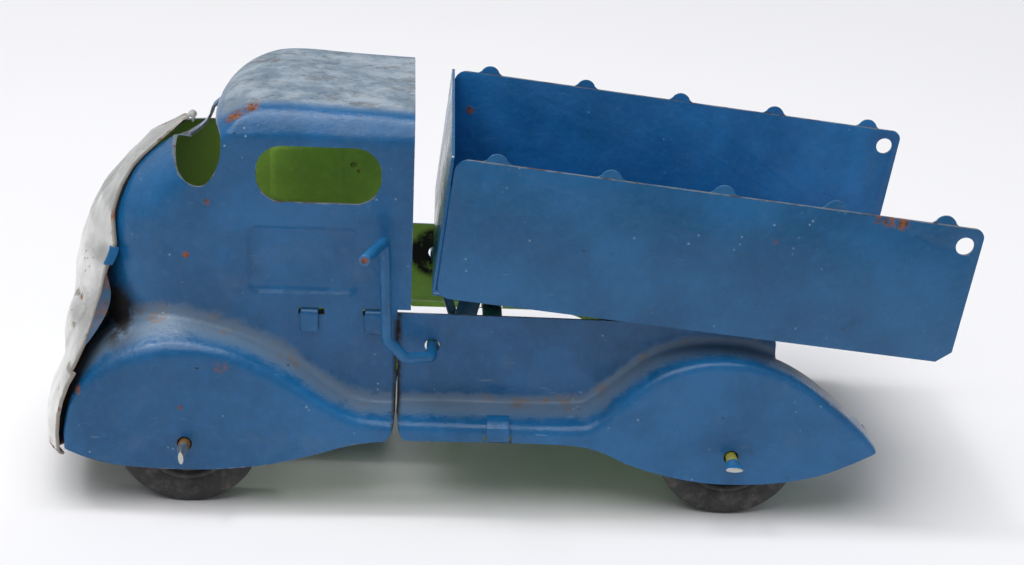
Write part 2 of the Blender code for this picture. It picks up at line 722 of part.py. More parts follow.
def build_truck():
    clear_scene()
    truck = bpy.data.objects.new("truck", None)
    bpy.context.scene.collection.objects.link(truck)
    truck.location = (-CENTRE_X, -CENTRE_Y, 0.0)
    build_cab(truck, make_material("cab_paint", BLUE, 0.35, 0.0))
    build_grille(truck, make_material("front_plating", TIN, 0.28, 1.0))
    build_chassis(truck, make_material("chassis_paint", BLUE, 0.35, 0.0))
    build_brace(truck, make_material("brace_paint", BLUE, 0.40, 0.0))
    build_bed(truck, make_material("bed_paint", BLUE, 0.35, 0.0))
    build_hinge_rod(truck, make_material("rod_steel", STEEL, 0.45, 1.0))
    build_lever(truck, make_material("lever_paint", BLUE, 0.35, 0.0))
    build_link(truck, make_material("link_paint", BLUE, 0.40, 0.0))
    build_axle("front_axle", -0.5 * WHEELBASE, True, truck, make_material("front_axle_steel", STEEL, 0.5, 1.0))
    build_axle("rear_axle", 0.5 * WHEELBASE, False, truck, make_material("rear_axle_steel", STEEL, 0.5, 1.0))
    for end, x in (("front", -0.5 * WHEELBASE), ("rear", 0.5 * WHEELBASE)):
        for side, sign in (("left", -1), ("right", 1)):
            rubber = make_material(f"{end}_{side}_rubber", RUBBER, 0.6, 0.0)
            build_wheel(f"wheel_{end}_{side}", x, sign, truck, rubber)


build_truck()
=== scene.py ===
"""Looks of a pressed-steel toy dump truck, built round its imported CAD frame.

Shapes are drawn in the truck's own frame, whose origin is midway between the axles on the centre
plane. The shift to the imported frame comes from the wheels' boxes. Metres, +Z up, front at -X.
"""

import math

import bpy
import bmesh
import numpy as np
from mathutils import Matrix, Vector, kdtree, noise


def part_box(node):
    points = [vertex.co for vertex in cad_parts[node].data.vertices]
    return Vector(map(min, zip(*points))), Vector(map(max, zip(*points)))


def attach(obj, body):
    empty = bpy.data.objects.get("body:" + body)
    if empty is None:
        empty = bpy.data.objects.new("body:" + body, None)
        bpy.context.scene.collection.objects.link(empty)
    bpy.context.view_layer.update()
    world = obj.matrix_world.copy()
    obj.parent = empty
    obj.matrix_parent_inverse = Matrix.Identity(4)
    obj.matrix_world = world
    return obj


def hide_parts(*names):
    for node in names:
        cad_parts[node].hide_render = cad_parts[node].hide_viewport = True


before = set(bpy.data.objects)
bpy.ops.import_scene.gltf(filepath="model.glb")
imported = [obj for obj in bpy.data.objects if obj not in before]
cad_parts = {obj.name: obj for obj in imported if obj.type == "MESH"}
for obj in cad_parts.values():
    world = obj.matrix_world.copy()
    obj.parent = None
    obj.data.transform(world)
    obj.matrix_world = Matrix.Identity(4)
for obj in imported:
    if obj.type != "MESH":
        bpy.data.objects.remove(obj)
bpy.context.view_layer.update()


def middle(node):
    low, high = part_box(node)
    return 0.5 * (low + high)


NEAR_WHEELS = (middle("wheel_front_left"), middle("wheel_rear_left"))
SHIFT = Vector((
    0.5 * (NEAR_WHEELS[0].x + NEAR_WHEELS[1].x),
    0.5 * (middle("wheel_front_left").y + middle("wheel_front_right").y),
    0.0,
))
WHEELBASE = NEAR_WHEELS[1].x - NEAR_WHEELS[0].x
WHEEL_RADIUS = 0.5 * (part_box("wheel_front_left")[1].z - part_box("wheel_front_left")[0].z)
WHEEL_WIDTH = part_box("wheel_front_left")[1].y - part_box("wheel_front_left")[0].y
WHEEL_Y = 0.5 * (middle("wheel_front_right").y - middle("wheel_front_left").y)
AXLE_RADIUS = 0.0019
SHEET = 0.0009
FENDER_Y = 0.0585
CAB_Y = 0.0455
FRAME_Y = 0.0443
HINGE = (0.0970, 0.0622)
LEVER = (-0.0101, 0.0550)
BED_TILT = math.radians(6.1)
AXLE_HOLE = AXLE_RADIUS + 0.0006
CROSS_CUT = 0.07
SOLVER = "MANIFOLD"


# ---------------------------------------------------------------- materials

class Tree:
    """A short way to write shader nodes: every call returns an output socket."""

    def __init__(self, name):
        self.material = bpy.data.materials.new(name)
        self.material.use_nodes = True
        self.nodes = self.material.node_tree.nodes
        self.links = self.material.node_tree.links
        self.shader = self.nodes["Principled BSDF"]
        place = self.nodes.new("ShaderNodeTexCoord")
        self.place = place.outputs["Object"]
        self.facing = place.outputs["Normal"]

    def feed(self, socket, value):
        if isinstance(value, bpy.types.NodeSocket):
            self.links.new(value, socket)
        elif isinstance(value, (tuple, list)) and socket.type == "RGBA":
            socket.default_value = (*value[:3], 1.0)
        else:
            socket.default_value = value

    def set(self, **values):
        for key, value in values.items():
            self.feed(self.shader.inputs[key.replace("_", " ")], value)

    def math(self, kind, first, second=0.0, third=0.0, clamp=False):
        node = self.nodes.new("ShaderNodeMath")
        node.operation = kind
        node.use_clamp = clamp
        for socket, value in zip(node.inputs, (first, second, third)):
            self.feed(socket, value)
        return node.outputs[0]

    def step(self, value, low, high):
        """0 below low, 1 above high, smooth in between; low above high turns it round."""
        node = self.nodes.new("ShaderNodeMapRange")
        node.interpolation_type = "SMOOTHSTEP"
        turned = low > high
        self.feed(node.inputs["Value"], value)
        self.feed(node.inputs["From Min"], min(low, high))
        self.feed(node.inputs["From Max"], max(low, high))
        self.feed(node.inputs["To Min"], 1.0 if turned else 0.0)
        self.feed(node.inputs["To Max"], 0.0 if turned else 1.0)
        return node.outputs[0]

    def times(self, *values):
        total = values[0]
        for value in values[1:]:
            total = self.math("MULTIPLY", total, value)
        return total

    def most(self, *values):
        total = values[0]
        for value in values[1:]:
            total = self.math("MAXIMUM", total, value)
        return total

    def mix(self, share, first, second):
        node = self.nodes.new("ShaderNodeMix")
        node.data_type = "RGBA"
        self.feed(node.inputs[0], share)
        self.feed(node.inputs[6], first)
        self.feed(node.inputs[7], second)
        return node.outputs[2]

    def blend(self, share, first, second):
        node = self.nodes.new("ShaderNodeMix")
        node.data_type = "FLOAT"
        for socket, value in zip((node.inputs[0], node.inputs[2], node.inputs[3]), (share, first, second)):
            self.feed(socket, value)
        return node.outputs[0]

    def stretched(self, scale, turn=(0.0, 0.0, 0.0), place=(0.0, 0.0, 0.0)):
        node = self.nodes.new("ShaderNodeMapping")
        self.feed(node.inputs["Vector"], self.place)
        node.inputs["Scale"].default_value = scale
        node.inputs["Rotation"].default_value = turn
        node.inputs["Location"].default_value = place
        return node.outputs[0]

    def noise(self, scale, detail=3.0, rough=0.55, place=None, bend=0.0):
        node = self.nodes.new("ShaderNodeTexNoise")
        self.feed(node.inputs["Vector"], place or self.place)
        self.feed(node.inputs["Scale"], scale)
        self.feed(node.inputs["Detail"], detail)
        self.feed(node.inputs["Roughness"], rough)
        self.feed(node.inputs["Distortion"], bend)
        return node.outputs[0]

    def cells(self, scale, place=None, feature="F1"):
        node = self.nodes.new("ShaderNodeTexVoronoi")
        node.feature = feature
        self.feed(node.inputs["Vector"], place or self.place)
        self.feed(node.inputs["Scale"], scale)
        return node.outputs["Distance"]

    def painted(self, name):
        node = self.nodes.new("ShaderNodeAttribute")
        node.attribute_name = name
        return node.outputs["Fac"]

    def axis(self, vector, name):
        node = self.nodes.new("ShaderNodeSeparateXYZ")
        self.feed(node.inputs[0], vector)
        return node.outputs[name]

    def spot(self, centre, radius, edge=0.5, warp=0.0):
        """1 inside a ball round the centre, which is in the truck's own frame, and 0 outside."""
        node = self.nodes.new("ShaderNodeVectorMath")
        node.operation = "DISTANCE"
        self.feed(node.inputs[0], self.place)
        node.inputs[1].default_value = Vector(centre) + SHIFT
        reach = node.outputs["Value"]
        if warp:
            wave = self.math("SUBTRACT", self.noise(1.3 / radius, 4.0, 0.65), 0.5)
            reach = self.math("MULTIPLY_ADD", wave, warp * radius, reach)
        return self.step(reach, radius, radius * edge)

    def bump(self, height, distance, under=None):
        node = self.nodes.new("ShaderNodeBump")
        self.feed(node.inputs["Height"], height)
        node.inputs["Distance"].default_value = distance
        if under is not None:
            self.feed(node.inputs["Normal"], under)
        return node.outputs[0]


def srgb(red, green, blue):
    """A display colour of 0 to 255 as linear light."""
    return tuple(
        c / 12.92 if c <= 0.04045 else ((c + 0.055) / 1.055) ** 2.4
        for c in (red / 255.0, green / 255.0, blue / 255.0)
    )


BED_UP = Vector((math.sin(BED_TILT), 0.0, math.cos(BED_TILT)))
BED_RIM = BED_UP.dot(Vector((HINGE[0], 0.0, HINGE[1])) + SHIFT) + 0.0500

RUST = srgb(142, 84, 42)
RUST_DARK = srgb(84, 50, 34)
BARE = srgb(150, 148, 142)
# Pale grey-blue, for dust and for painted light on the tops of fenders and boards.
DUST_AND_TOP_LIGHT = srgb(126, 140, 150)
# Near-black, for real grease and for painted shade.
GRIME_AND_SHADE = srgb(30, 30, 32)


def paint(name, colour, chips=1.0, wear=1.0, spots=(), roof=False, gloss=0.22, bed=False,
          nose_painted_shade=False):
    """Old stove enamel: uneven colour, chips, scratches, dusty creases, bare edges and rust. Some marks also
    paint light and shade: the dust mask lightens the lit tops of fenders and boards, the soot mask paints
    shade in corners and seams, the roof's pale grey is partly a painted reflection, and the nose option
    paints shade inside the nose.
    """
    t = Tree(name)
    dark = tuple(0.80 * c for c in colour)
    light = tuple(min(1.0, 1.16 * c + 0.006) for c in colour)
    clouds = t.noise(26.0, 5.0, 0.6)
    skin = t.mix(t.step(clouds, 0.34, 0.68), dark, light)
    fine = t.noise(420.0, 3.0, 0.6)
    skin = t.mix(t.times(t.step(fine, 0.45, 0.8), 0.22), skin,
                 tuple(min(1.0, 1.5 * c + 0.02) for c in colour))
    chalk = t.times(t.step(t.noise(60.0, 6.0, 0.7), 0.52, 0.78), 0.30 * wear)
    skin = t.mix(chalk, skin, tuple(0.6 * c + 0.10 for c in colour))

    rough = t.blend(t.step(t.noise(90.0, 4.0, 0.6), 0.3, 0.75), gloss - 0.07, gloss + 0.12)

    # The dust mask: pale dust on the fender and board tops, mixed strongly enough to also paint the light
    # falling on these upward faces.
    dusty = t.painted("dust_and_top_light")
    grain = t.noise(210.0, 6.0, 0.72)
    dusty = t.times(dusty, t.step(t.math("ADD", grain, t.times(dusty, 0.35)), 0.46, 0.74))
    skin = t.mix(t.times(dusty, 0.56), skin, DUST_AND_TOP_LIGHT)
    rough = t.blend(t.times(dusty, 0.4), rough, 0.50)
    blotches = t.noise(95.0, 6.0, 0.72, t.stretched((1, 1, 1), place=(3, 1, 2)))
    brown_dust = t.times(t.painted("dust_and_top_light"), t.step(blotches, 0.555, 0.63))
    skin = t.mix(t.times(brown_dust, 0.6), skin, srgb(122, 104, 90))
    # The soot mask paints near-black shade into corners and seams, blotched by noise, and real grease round
    # the lever's hole.
    soot_and_shade_share = t.times(t.painted("soot_and_shade"), t.step(t.noise(150.0, 5.0, 0.7), 0.25, 0.55))
    skin = t.mix(soot_and_shade_share, skin, GRIME_AND_SHADE)
    rough = t.blend(soot_and_shade_share, rough, 0.75)

    # Painted shade: the green inside darkens towards the front of the nose, where little light gets in.
    if nose_painted_shade:
        inner = t.step(t.axis(t.place, "X"), SHIFT.x - 0.076, SHIFT.x - 0.092)
        skin = t.mix(inner, skin, tuple(0.42 * c for c in colour))

    # Roof: real scuffs and brown rubs over a pale grey, which is partly dust and partly a painted reflection
    # of the bright room across the roof.
    if roof:
        top = t.painted("worn")
        sheen_and_dust_cover = t.times(top, t.step(t.noise(210.0, 6.0, 0.72), 0.20, 0.42))
        sheen_and_dust_grey = t.mix(t.step(t.noise(85.0, 7.0, 0.75), 0.38, 0.62), srgb(112, 128, 142), srgb(158, 170, 180))
        skin = t.mix(t.times(sheen_and_dust_cover, 0.95), skin, sheen_and_dust_grey)
        scuffs = t.noise(1.0, 8.0, 0.78, t.stretched((95.0, 150.0, 95.0), (0.0, 0.0, 0.6)), 0.5)
        patches = t.step(t.noise(30.0, 4.0, 0.6, t.stretched((1, 1, 1), place=(0.4, 0.1, 0.0))), 0.40, 0.64)
        marks = t.times(top, t.step(scuffs, 0.53, 0.59), t.blend(patches, 0.6, 1.0))
        skin = t.mix(t.times(marks, 0.6), skin, srgb(84, 82, 82))
        brown_scuffs = t.times(top, t.step(scuffs, 0.60, 0.67), patches)
        skin = t.mix(t.times(brown_scuffs, 0.75), skin, srgb(128, 92, 66))
        rough = t.blend(t.times(top, 0.9), rough, t.blend(marks, 0.42, 0.66))

    speck = t.step(t.cells(330.0), 0.16, 0.08)
    speck = t.times(speck, t.step(t.noise(70.0, 2.0), 0.55, 0.68), chips)
    skin = t.mix(t.times(speck, 0.75), skin, srgb(150, 172, 186))
    nick = t.times(t.step(t.cells(120.0, t.stretched((1.0, 1.0, 1.6), (0.4, 0.2, 0.1))), 0.10, 0.05), chips)
    nick = t.times(nick, t.step(t.noise(45.0, 2.0), 0.54, 0.64))
    skin = t.mix(nick, skin, srgb(24, 40, 56))
    for turn, rate in ((0.5, 34.0), (-0.9, 47.0), (1.35, 41.0)):
        line = t.noise(1.0, 2.0, 0.5, t.stretched((2.4 * rate, 2.4 * rate, 26.0 * rate), (0.0, turn, 0.0)))
        zone = t.step(t.noise(55.0, 2.0, place=t.stretched((1, 1, 1), place=(turn, 0, 0))), 0.60, 0.68)
        scratch = t.times(t.step(line, 0.705, 0.725), zone, chips)
        skin = t.mix(t.times(scratch, 0.30), skin, srgb(140, 164, 184))

    rusty = t.times(t.step(t.noise(75.0, 6.0, 0.7), 0.725, 0.75), wear)
    for centre, radius in spots:
        rusty = t.most(rusty, t.times(t.spot(centre, radius, 0.35, 1.6),
                                      t.step(t.noise(520.0, 4.0, 0.7), 0.34, 0.52)))
    rust = t.mix(t.step(t.noise(700.0, 3.0), 0.35, 0.65), RUST_DARK, RUST)
    worn = t.times(t.painted("rim"), 0.0 if bed else 1.0)
    if bed:
        node = t.nodes.new("ShaderNodeVectorMath")
        node.operation = "DOT_PRODUCT"
        t.feed(node.inputs[0], t.place)
        node.inputs[1].default_value = BED_UP
        height = t.math("SUBTRACT", node.outputs["Value"], BED_RIM)
        band = t.times(t.step(height, -0.00035, -0.00005), t.step(height, 0.00045, 0.00025))
        worn = t.most(worn, t.times(band, 0.8))
    ragged = t.times(t.math("SUBTRACT", t.noise(230.0, 5.0, 0.7), 0.5), 1.5)
    rim = t.step(t.math("ADD", worn, t.times(ragged, t.step(worn, 0.0, 0.3))), 0.50, 0.82)
    edge = t.mix(t.step(t.noise(160.0, 4.0), 0.50, 0.60), srgb(132, 138, 142), srgb(96, 74, 58))
    skin = t.mix(t.times(rim, 0.9), skin, edge)
    skin = t.mix(rusty, skin, rust)
    rough = t.blend(rusty, t.blend(rim, rough, 0.42), 0.85)
    metal = t.times(rim, 0.55)

    dents = t.bump(t.noise(34.0, 2.0, 0.45), 0.0011)
    peel = t.bump(t.noise(460.0, 5.0, 0.66), 0.00020, dents)
    relief = t.math("SUBTRACT", t.times(rusty, 0.6), t.math("ADD", t.times(nick, 0.5), t.times(rim, 0.35)))
    t.set(Base_Color=skin, Roughness=rough, Metallic=metal, Normal=t.bump(relief, 0.00012, peel))
    t.shader.inputs["Specular IOR Level"].default_value = 0.40
    return t.material


def plating(name):
    """Old bright plating: soft clouds, brown pits along the edges and rust blooms."""
    t = Tree(name)
    clouds = t.noise(48.0, 6.0, 0.65)
    skin = t.mix(t.step(clouds, 0.35, 0.7), srgb(214, 214, 210), srgb(246, 246, 243))
    stain = t.step(t.noise(1.0, 6.0, 0.7, t.stretched((80.0, 60.0, 26.0))), 0.58, 0.72)
    skin = t.mix(t.times(stain, 0.45), skin, srgb(160, 156, 146))
    rim = t.step(t.math("ADD", t.painted("rim"), t.math("SUBTRACT", t.noise(170.0, 5.0, 0.7), 0.5)), 0.45,
                 0.85)
    skin = t.mix(t.times(rim, 0.7), skin, srgb(122, 108, 94))
    pits = t.times(t.step(t.cells(380.0), 0.22, 0.10), t.step(t.noise(60.0, 3.0), 0.52, 0.64))
    skin = t.mix(t.times(pits, 0.8), skin, srgb(86, 72, 62))
    rusty = t.step(t.noise(66.0, 6.0, 0.72), 0.675, 0.72)
    rusty = t.most(rusty, t.times(rim, t.step(t.noise(95.0, 5.0, 0.7), 0.56, 0.64)))
    for centre, radius in (((-0.129, -0.020, 0.089), 0.0034), ((-0.131, -0.0414, 0.064), 0.0050),
                           ((-0.133, -0.045, 0.052), 0.0046), ((-0.139, -0.055, 0.020), 0.0060)):
        rusty = t.most(rusty, t.times(t.spot(centre, radius, 0.3, 1.4),
                                      t.step(t.noise(560.0, 4.0, 0.7), 0.36, 0.52)))
    skin = t.mix(t.times(rusty, 0.9), skin,
                 t.mix(t.step(t.noise(640.0, 3.0), 0.4, 0.65), RUST_DARK, srgb(176, 108, 56)))
    rough = t.blend(t.step(t.noise(120.0, 4.0), 0.3, 0.7), 0.30, 0.46)
    rough = t.blend(t.most(rusty, t.times(rim, 0.6)), rough, 0.8)
    metal = t.math("SUBTRACT", 0.86, t.times(t.most(rusty, t.times(rim, 0.5)), 0.7))
    dents = t.bump(t.noise(46.0, 3.0, 0.5), 0.0012)
    t.set(Base_Color=skin, Roughness=rough, Metallic=metal,
          Normal=t.bump(t.math("SUBTRACT", rusty, pits), 0.00010, dents))
    return t.material


def plate_back(name):
    """The back of the plate: blue overspray over brown."""
    t = Tree(name)
    share = t.step(t.noise(55.0, 6.0, 0.7), 0.42, 0.58)
    skin = t.mix(share, srgb(40, 74, 104), srgb(112, 72, 46))
    skin = t.mix(t.step(t.noise(300.0, 5.0, 0.7), 0.5, 0.75), skin, srgb(60, 52, 46))
    t.set(Base_Color=skin, Roughness=t.blend(t.noise(90.0), 0.5, 0.8),
          Normal=t.bump(t.noise(260.0, 4.0), 0.0001))
    return t.material


def steel(name, bright, brown, share):
    """Bare wire with a brown patina, light on its worn places."""
    t = Tree(name)
    patina = t.step(t.noise(190.0, 6.0, 0.7), 0.62 - 0.4 * share, 0.80 - 0.4 * share)
    skin = t.mix(patina, bright, brown)
    skin = t.mix(t.step(t.noise(700.0, 4.0, 0.7), 0.55, 0.7), skin, tuple(0.5 * c for c in brown))
    t.set(Base_Color=skin, Roughness=t.blend(patina, 0.34, 0.74), Metallic=t.blend(patina, 0.9, 0.25),
          Normal=t.bump(t.noise(800.0, 4.0, 0.7), 0.00006))
    return t.material


def rubber(name):
    """Moulded black rubber, greyed with dust and scuffed on the tread."""
    t = Tree(name)
    skin = t.mix(t.step(t.noise(70.0, 5.0, 0.65), 0.35, 0.7), srgb(34, 34, 36), srgb(60, 59, 58))
    dusty = t.times(t.step(t.noise(230.0, 6.0, 0.75), 0.46, 0.74), 0.5)
    skin = t.mix(dusty, skin, srgb(116, 110, 102))
    bits = t.times(t.step(t.cells(420.0), 0.18, 0.08), t.step(t.noise(90.0, 2.0), 0.55, 0.65))
    skin = t.mix(t.times(bits, 0.6), skin, srgb(150, 142, 130))
    t.set(Base_Color=skin, Roughness=t.blend(t.noise(160.0, 4.0), 0.48, 0.72),
          Normal=t.bump(t.noise(620.0, 5.0, 0.7), 0.00007, t.bump(t.noise(60.0, 3.0), 0.0006)))
    return t.material


BLUE = srgb(16, 89, 139)
CAB_SPOTS = (
    ((-0.0745, -0.0395, 0.1305), 0.0040), ((-0.0695, -0.0370, 0.1325), 0.0044),
    ((-0.0700, -0.0400, 0.1255), 0.0014), ((-0.0900, -0.0455, 0.0850), 0.0016),
    ((-0.1170, -0.0330, 0.0810), 0.0016), ((-0.0780, -0.0560, 0.0520), 0.0040),
    ((-0.0880, -0.0540, 0.0520), 0.0018), ((-0.0655, -0.0545, 0.0500), 0.0026),
    ((-0.0830, -0.0455, 0.1030), 0.0014), ((-0.1240, -0.0570, 0.0420), 0.0022),
    ((-0.0910, -0.0585, 0.0370), 0.0010), ((-0.0215, -0.0520, 0.0310), 0.0016),
    ((-0.0412, 0.0440, 0.0885), 0.0017), ((-0.0392, 0.0440, 0.0862), 0.0014),
)
BED_SPOTS = (
    ((0.1330, -0.0553, 0.1072), 0.0026), ((0.1378, -0.0553, 0.1067), 0.0030),
    ((0.1296, -0.0553, 0.1078), 0.0018), ((0.0015, 0.0540, 0.1080), 0.0022),
    ((-0.0108, -0.0545, 0.0905), 0.0018), ((-0.0114, -0.0545, 0.0850), 0.0018),
    ((0.0980, -0.0553, 0.0990), 0.0011),
)
OUT = paint("blue_cab", BLUE, spots=CAB_SPOTS, roof=True)
BED_OUT = paint("blue_bed", srgb(14, 88, 136), 0.8, 0.25, BED_SPOTS, bed=True)
BED_IN = paint("blue_bed_inside", srgb(20, 102, 160), 0.5, 0.2, BED_SPOTS, gloss=0.42, bed=True)
GREEN = paint("green_inside", srgb(172, 216, 98), 0.4, 0.9, CAB_SPOTS, gloss=0.42, nose_painted_shade=True)
EDGE = paint("blue_edge", tuple(0.5 * a + 0.5 * b for a, b in zip(BLUE, BARE)), 1.0, 0.6)
WIRE = paint("blue_wire", srgb(22, 94, 144), 1.3, 0.8,
             (((-0.0313, -0.0765, 0.0967), 0.0017),), gloss=0.30)
PLATE = plating("bright_plating")
PLATE_BACK = plate_back("plate_back")
ROD_BROWN = steel("rod_brown", srgb(170, 150, 118), srgb(128, 98, 62), 0.7)
ROD_BRIGHT = steel("rod_bright", srgb(186, 186, 182), srgb(110, 92, 74), 0.2)
ROD_GREEN = paint("axle_green", srgb(150, 148, 62), 1.0, 0.5)
RUBBER = rubber("black_rubber")


# ---------------------------------------------------------------- mesh helpers

def add_mesh(name, points, faces, materials=()):
    mesh = bpy.data.meshes.new(name)
    mesh.from_pydata([tuple(point) for point in points], [], faces)
    work = bmesh.new()
    work.from_mesh(mesh)
    bmesh.ops.recalc_face_normals(work, faces=work.faces)
    work.to_mesh(mesh)
    work.free()
    thing = bpy.data.objects.new(name, mesh)
    bpy.context.scene.collection.objects.link(thing)
    for material in materials:
        mesh.materials.append(material)
    return thing


def settle(thing):
    """Applies an object's modifiers and its place."""
    bpy.context.view_layer.update()
    graph = bpy.context.evaluated_depsgraph_get()
    mesh = bpy.data.meshes.new_from_object(thing.evaluated_get(graph), depsgraph=graph)
    thing.modifiers.clear()
    if thing.type != "MESH":
        name = thing.name
        for material in thing.data.materials:
            if material and material.name not in mesh.materials:
                mesh.materials.append(material)
        world = thing.matrix_world.copy()
        bpy.data.objects.remove(thing)
        thing = bpy.data.objects.new(name, mesh)
        bpy.context.scene.collection.objects.link(thing)
        mesh.transform(world)
        return thing
    thing.data = mesh
    mesh.transform(thing.matrix_world)
    thing.matrix_world = Matrix.Identity(4)
    return thing


def loft(name, rings, materials=()):
    count = len(rings[0])
    points = [point for ring in rings for point in ring]
    faces = [list(range(count)), [len(points) - count + i for i in range(count)]]
    for level in range(len(rings) - 1):
        low = level * count
        for i in range(count):
            j = (i + 1) % count
            faces.append([low + i, low + j, low + count + j, low + count + i])
    return add_mesh(name, points, faces, materials)


def prism_y(name, outline, y_low, y_high, materials=()):
    return loft(name, [[(x, y, z) for x, z in outline] for y in (y_low, y_high)], materials)


def prism_x(name, outline, x_low, x_high, materials=()):
    return loft(name, [[(x, y, z) for y, z in outline] for x in (x_low, x_high)], materials)


def block(name, low, high, materials=()):
    outline = [(low[0], low[2]), (high[0], low[2]), (high[0], high[2]), (low[0], high[2])]
    return prism_y(name, outline, low[1], high[1], materials)


def circle(centre, radius, count=48, start=0.0, sweep=math.tau):
    steps = count if sweep >= math.tau else count - 1
    angles = [start + sweep * i / steps for i in range(count)]
    return [(centre[0] + radius * math.cos(a), centre[1] + radius * math.sin(a)) for a in angles]


def stadium(low, high, radius, count=14):
    corners = (
        ((high[0] - radius, high[1] - radius), 0.0),
        ((low[0] + radius, high[1] - radius), 0.5 * math.pi),
        ((low[0] + radius, low[1] + radius), math.pi),
        ((high[0] - radius, low[1] + radius), 1.5 * math.pi),
    )
    return [p for centre, start in corners for p in circle(centre, radius, count, start, 0.5 * math.pi)]


def smooth_line(controls, steps=8):
    knots = [Vector(point) for point in controls]
    knots = [2 * knots[0] - knots[1]] + knots + [2 * knots[-1] - knots[-2]]
    line = []
    for a, b, c, d in zip(knots, knots[1:], knots[2:], knots[3:]):
        for step in range(steps):
            t = step / steps
            line.append(0.5 * (2 * b + (c - a) * t + (2 * a - 5 * b + 4 * c - d) * t**2
                               + (3 * b - a - 3 * c + d) * t**3))
    line.append(knots[-2])
    return [tuple(point) for point in line]


def merged(name, things):
    """One mesh object that holds all of these, which are removed."""
    points, faces, slots, materials = [], [], [], []
    for thing in things:
        base = len(points)
        points += [thing.matrix_world @ v.co for v in thing.data.vertices]
        for face in thing.data.polygons:
            faces.append([base + i for i in face.vertices])
            own = thing.data.materials
            material = own[face.material_index] if own else None
            if material not in materials:
                materials.append(material)
            slots.append(materials.index(material))
        bpy.data.objects.remove(thing)
    whole = add_mesh(name, points, faces, [m for m in materials if m])
    for face, index in zip(whole.data.polygons, slots):
        face.material_index = index
    return whole


def mirror_y(thing, name):
    points = [(v.co.x, -v.co.y, v.co.z) for v in thing.data.vertices]
    faces = [list(reversed(f.vertices)) for f in thing.data.polygons]
    return add_mesh(name, points, faces, list(thing.data.materials))


def boolean(target, other, operation="DIFFERENCE", solver="EXACT"):
    modifier = target.modifiers.new("boolean", "BOOLEAN")
    modifier.operation = operation
    modifier.solver = solver
    if solver == "EXACT":
        modifier.material_mode = "TRANSFER"
    modifier.object = other
    settle(target)
    bpy.data.objects.remove(other)
    return target


def voxelled(thing, size, passes):
    """Turns overlapping solids into one even skin, and melts its corners into small fillets."""
    remesh = thing.modifiers.new("remesh", "REMESH")
    remesh.mode = "VOXEL"
    remesh.voxel_size = size
    smooth = thing.modifiers.new("smooth", "SMOOTH")
    smooth.factor = 0.5
    smooth.iterations = passes
    return settle(thing)


def displace(thing, move):
    """Moves each vertex by what move(points, normals) says."""
    mesh = thing.data
    count = len(mesh.vertices)
    points = np.empty(count * 3)
    normals = np.empty(count * 3)
    mesh.vertices.foreach_get("co", points)
    mesh.vertices.foreach_get("normal", normals)
    points = points.reshape(-1, 3)
    points = points + move(points, normals.reshape(-1, 3))
    mesh.vertices.foreach_set("co", points.ravel())
    mesh.update()


def ramp(value, low, high):
    """Smooth step from 0 at low to 1 at high, for arrays."""
    share = np.clip((value - low) / (high - low), 0.0, 1.0)
    return share * share * (3.0 - 2.0 * share)


def waves(points, size, seed=0.0):
    """Slow smooth noise between about -1 and 1."""
    scaled = points / size + seed
    return np.array([noise.noise(Vector(p)) for p in scaled])


def shell(thing, inside, edge):
    """Gives a skin its thickness inwards, with its own material inside."""
    thing.data.materials.append(inside)
    thing.data.materials.append(edge)
    solid = thing.modifiers.new("thickness", "SOLIDIFY")
    solid.thickness = SHEET
    solid.offset = -1.0
    solid.material_offset = 1
    solid.material_offset_rim = 2
    return settle(thing)


def attribute(thing, name, values):
    layer = thing.data.attributes.new(name, "FLOAT", "POINT")
    layer.data.foreach_set("value", np.asarray(values, dtype=np.float32))


def coordinates(thing):
    points = np.empty(len(thing.data.vertices) * 3)
    thing.data.vertices.foreach_get("co", points)
    return points.reshape(-1, 3)


def sharp_rim(thing, angle=45.0, reach=0.0011, weight=None):
    """Marks how near each vertex is to a sharp outer edge, for the wear there."""
    work = bmesh.new()
    work.from_mesh(thing.data)
    limit = math.radians(angle)
    marked = set()
    for edge in work.edges:
        if len(edge.link_faces) != 2 or edge.calc_face_angle(0.0) > limit:
            marked.update((edge.verts[0].index, edge.verts[1].index))
    tree = kdtree.KDTree(max(1, len(marked)))
    for index in marked:
        tree.insert(thing.data.vertices[index].co, index)
    tree.balance()
    values = np.zeros(len(thing.data.vertices))
    if marked:
        for vertex in thing.data.vertices:
            values[vertex.index] = max(0.0, 1.0 - tree.find(vertex.co)[2] / reach)
    work.free()
    if weight is not None:
        values = values * weight
    attribute(thing, "rim", values)


def place(thing, body, *nodes, slot="blue_paint", angle=32.0):
    """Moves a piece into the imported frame, shades it and hands it to its body."""
    thing.data.transform(Matrix.Translation(SHIFT))
    thing.data.shade_smooth()
    thing.data.set_sharp_from_angle(angle=math.radians(angle))
    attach(thing, body)
    if nodes:
        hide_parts(*nodes)
    return thing


# ---------------------------------------------------------------- cab

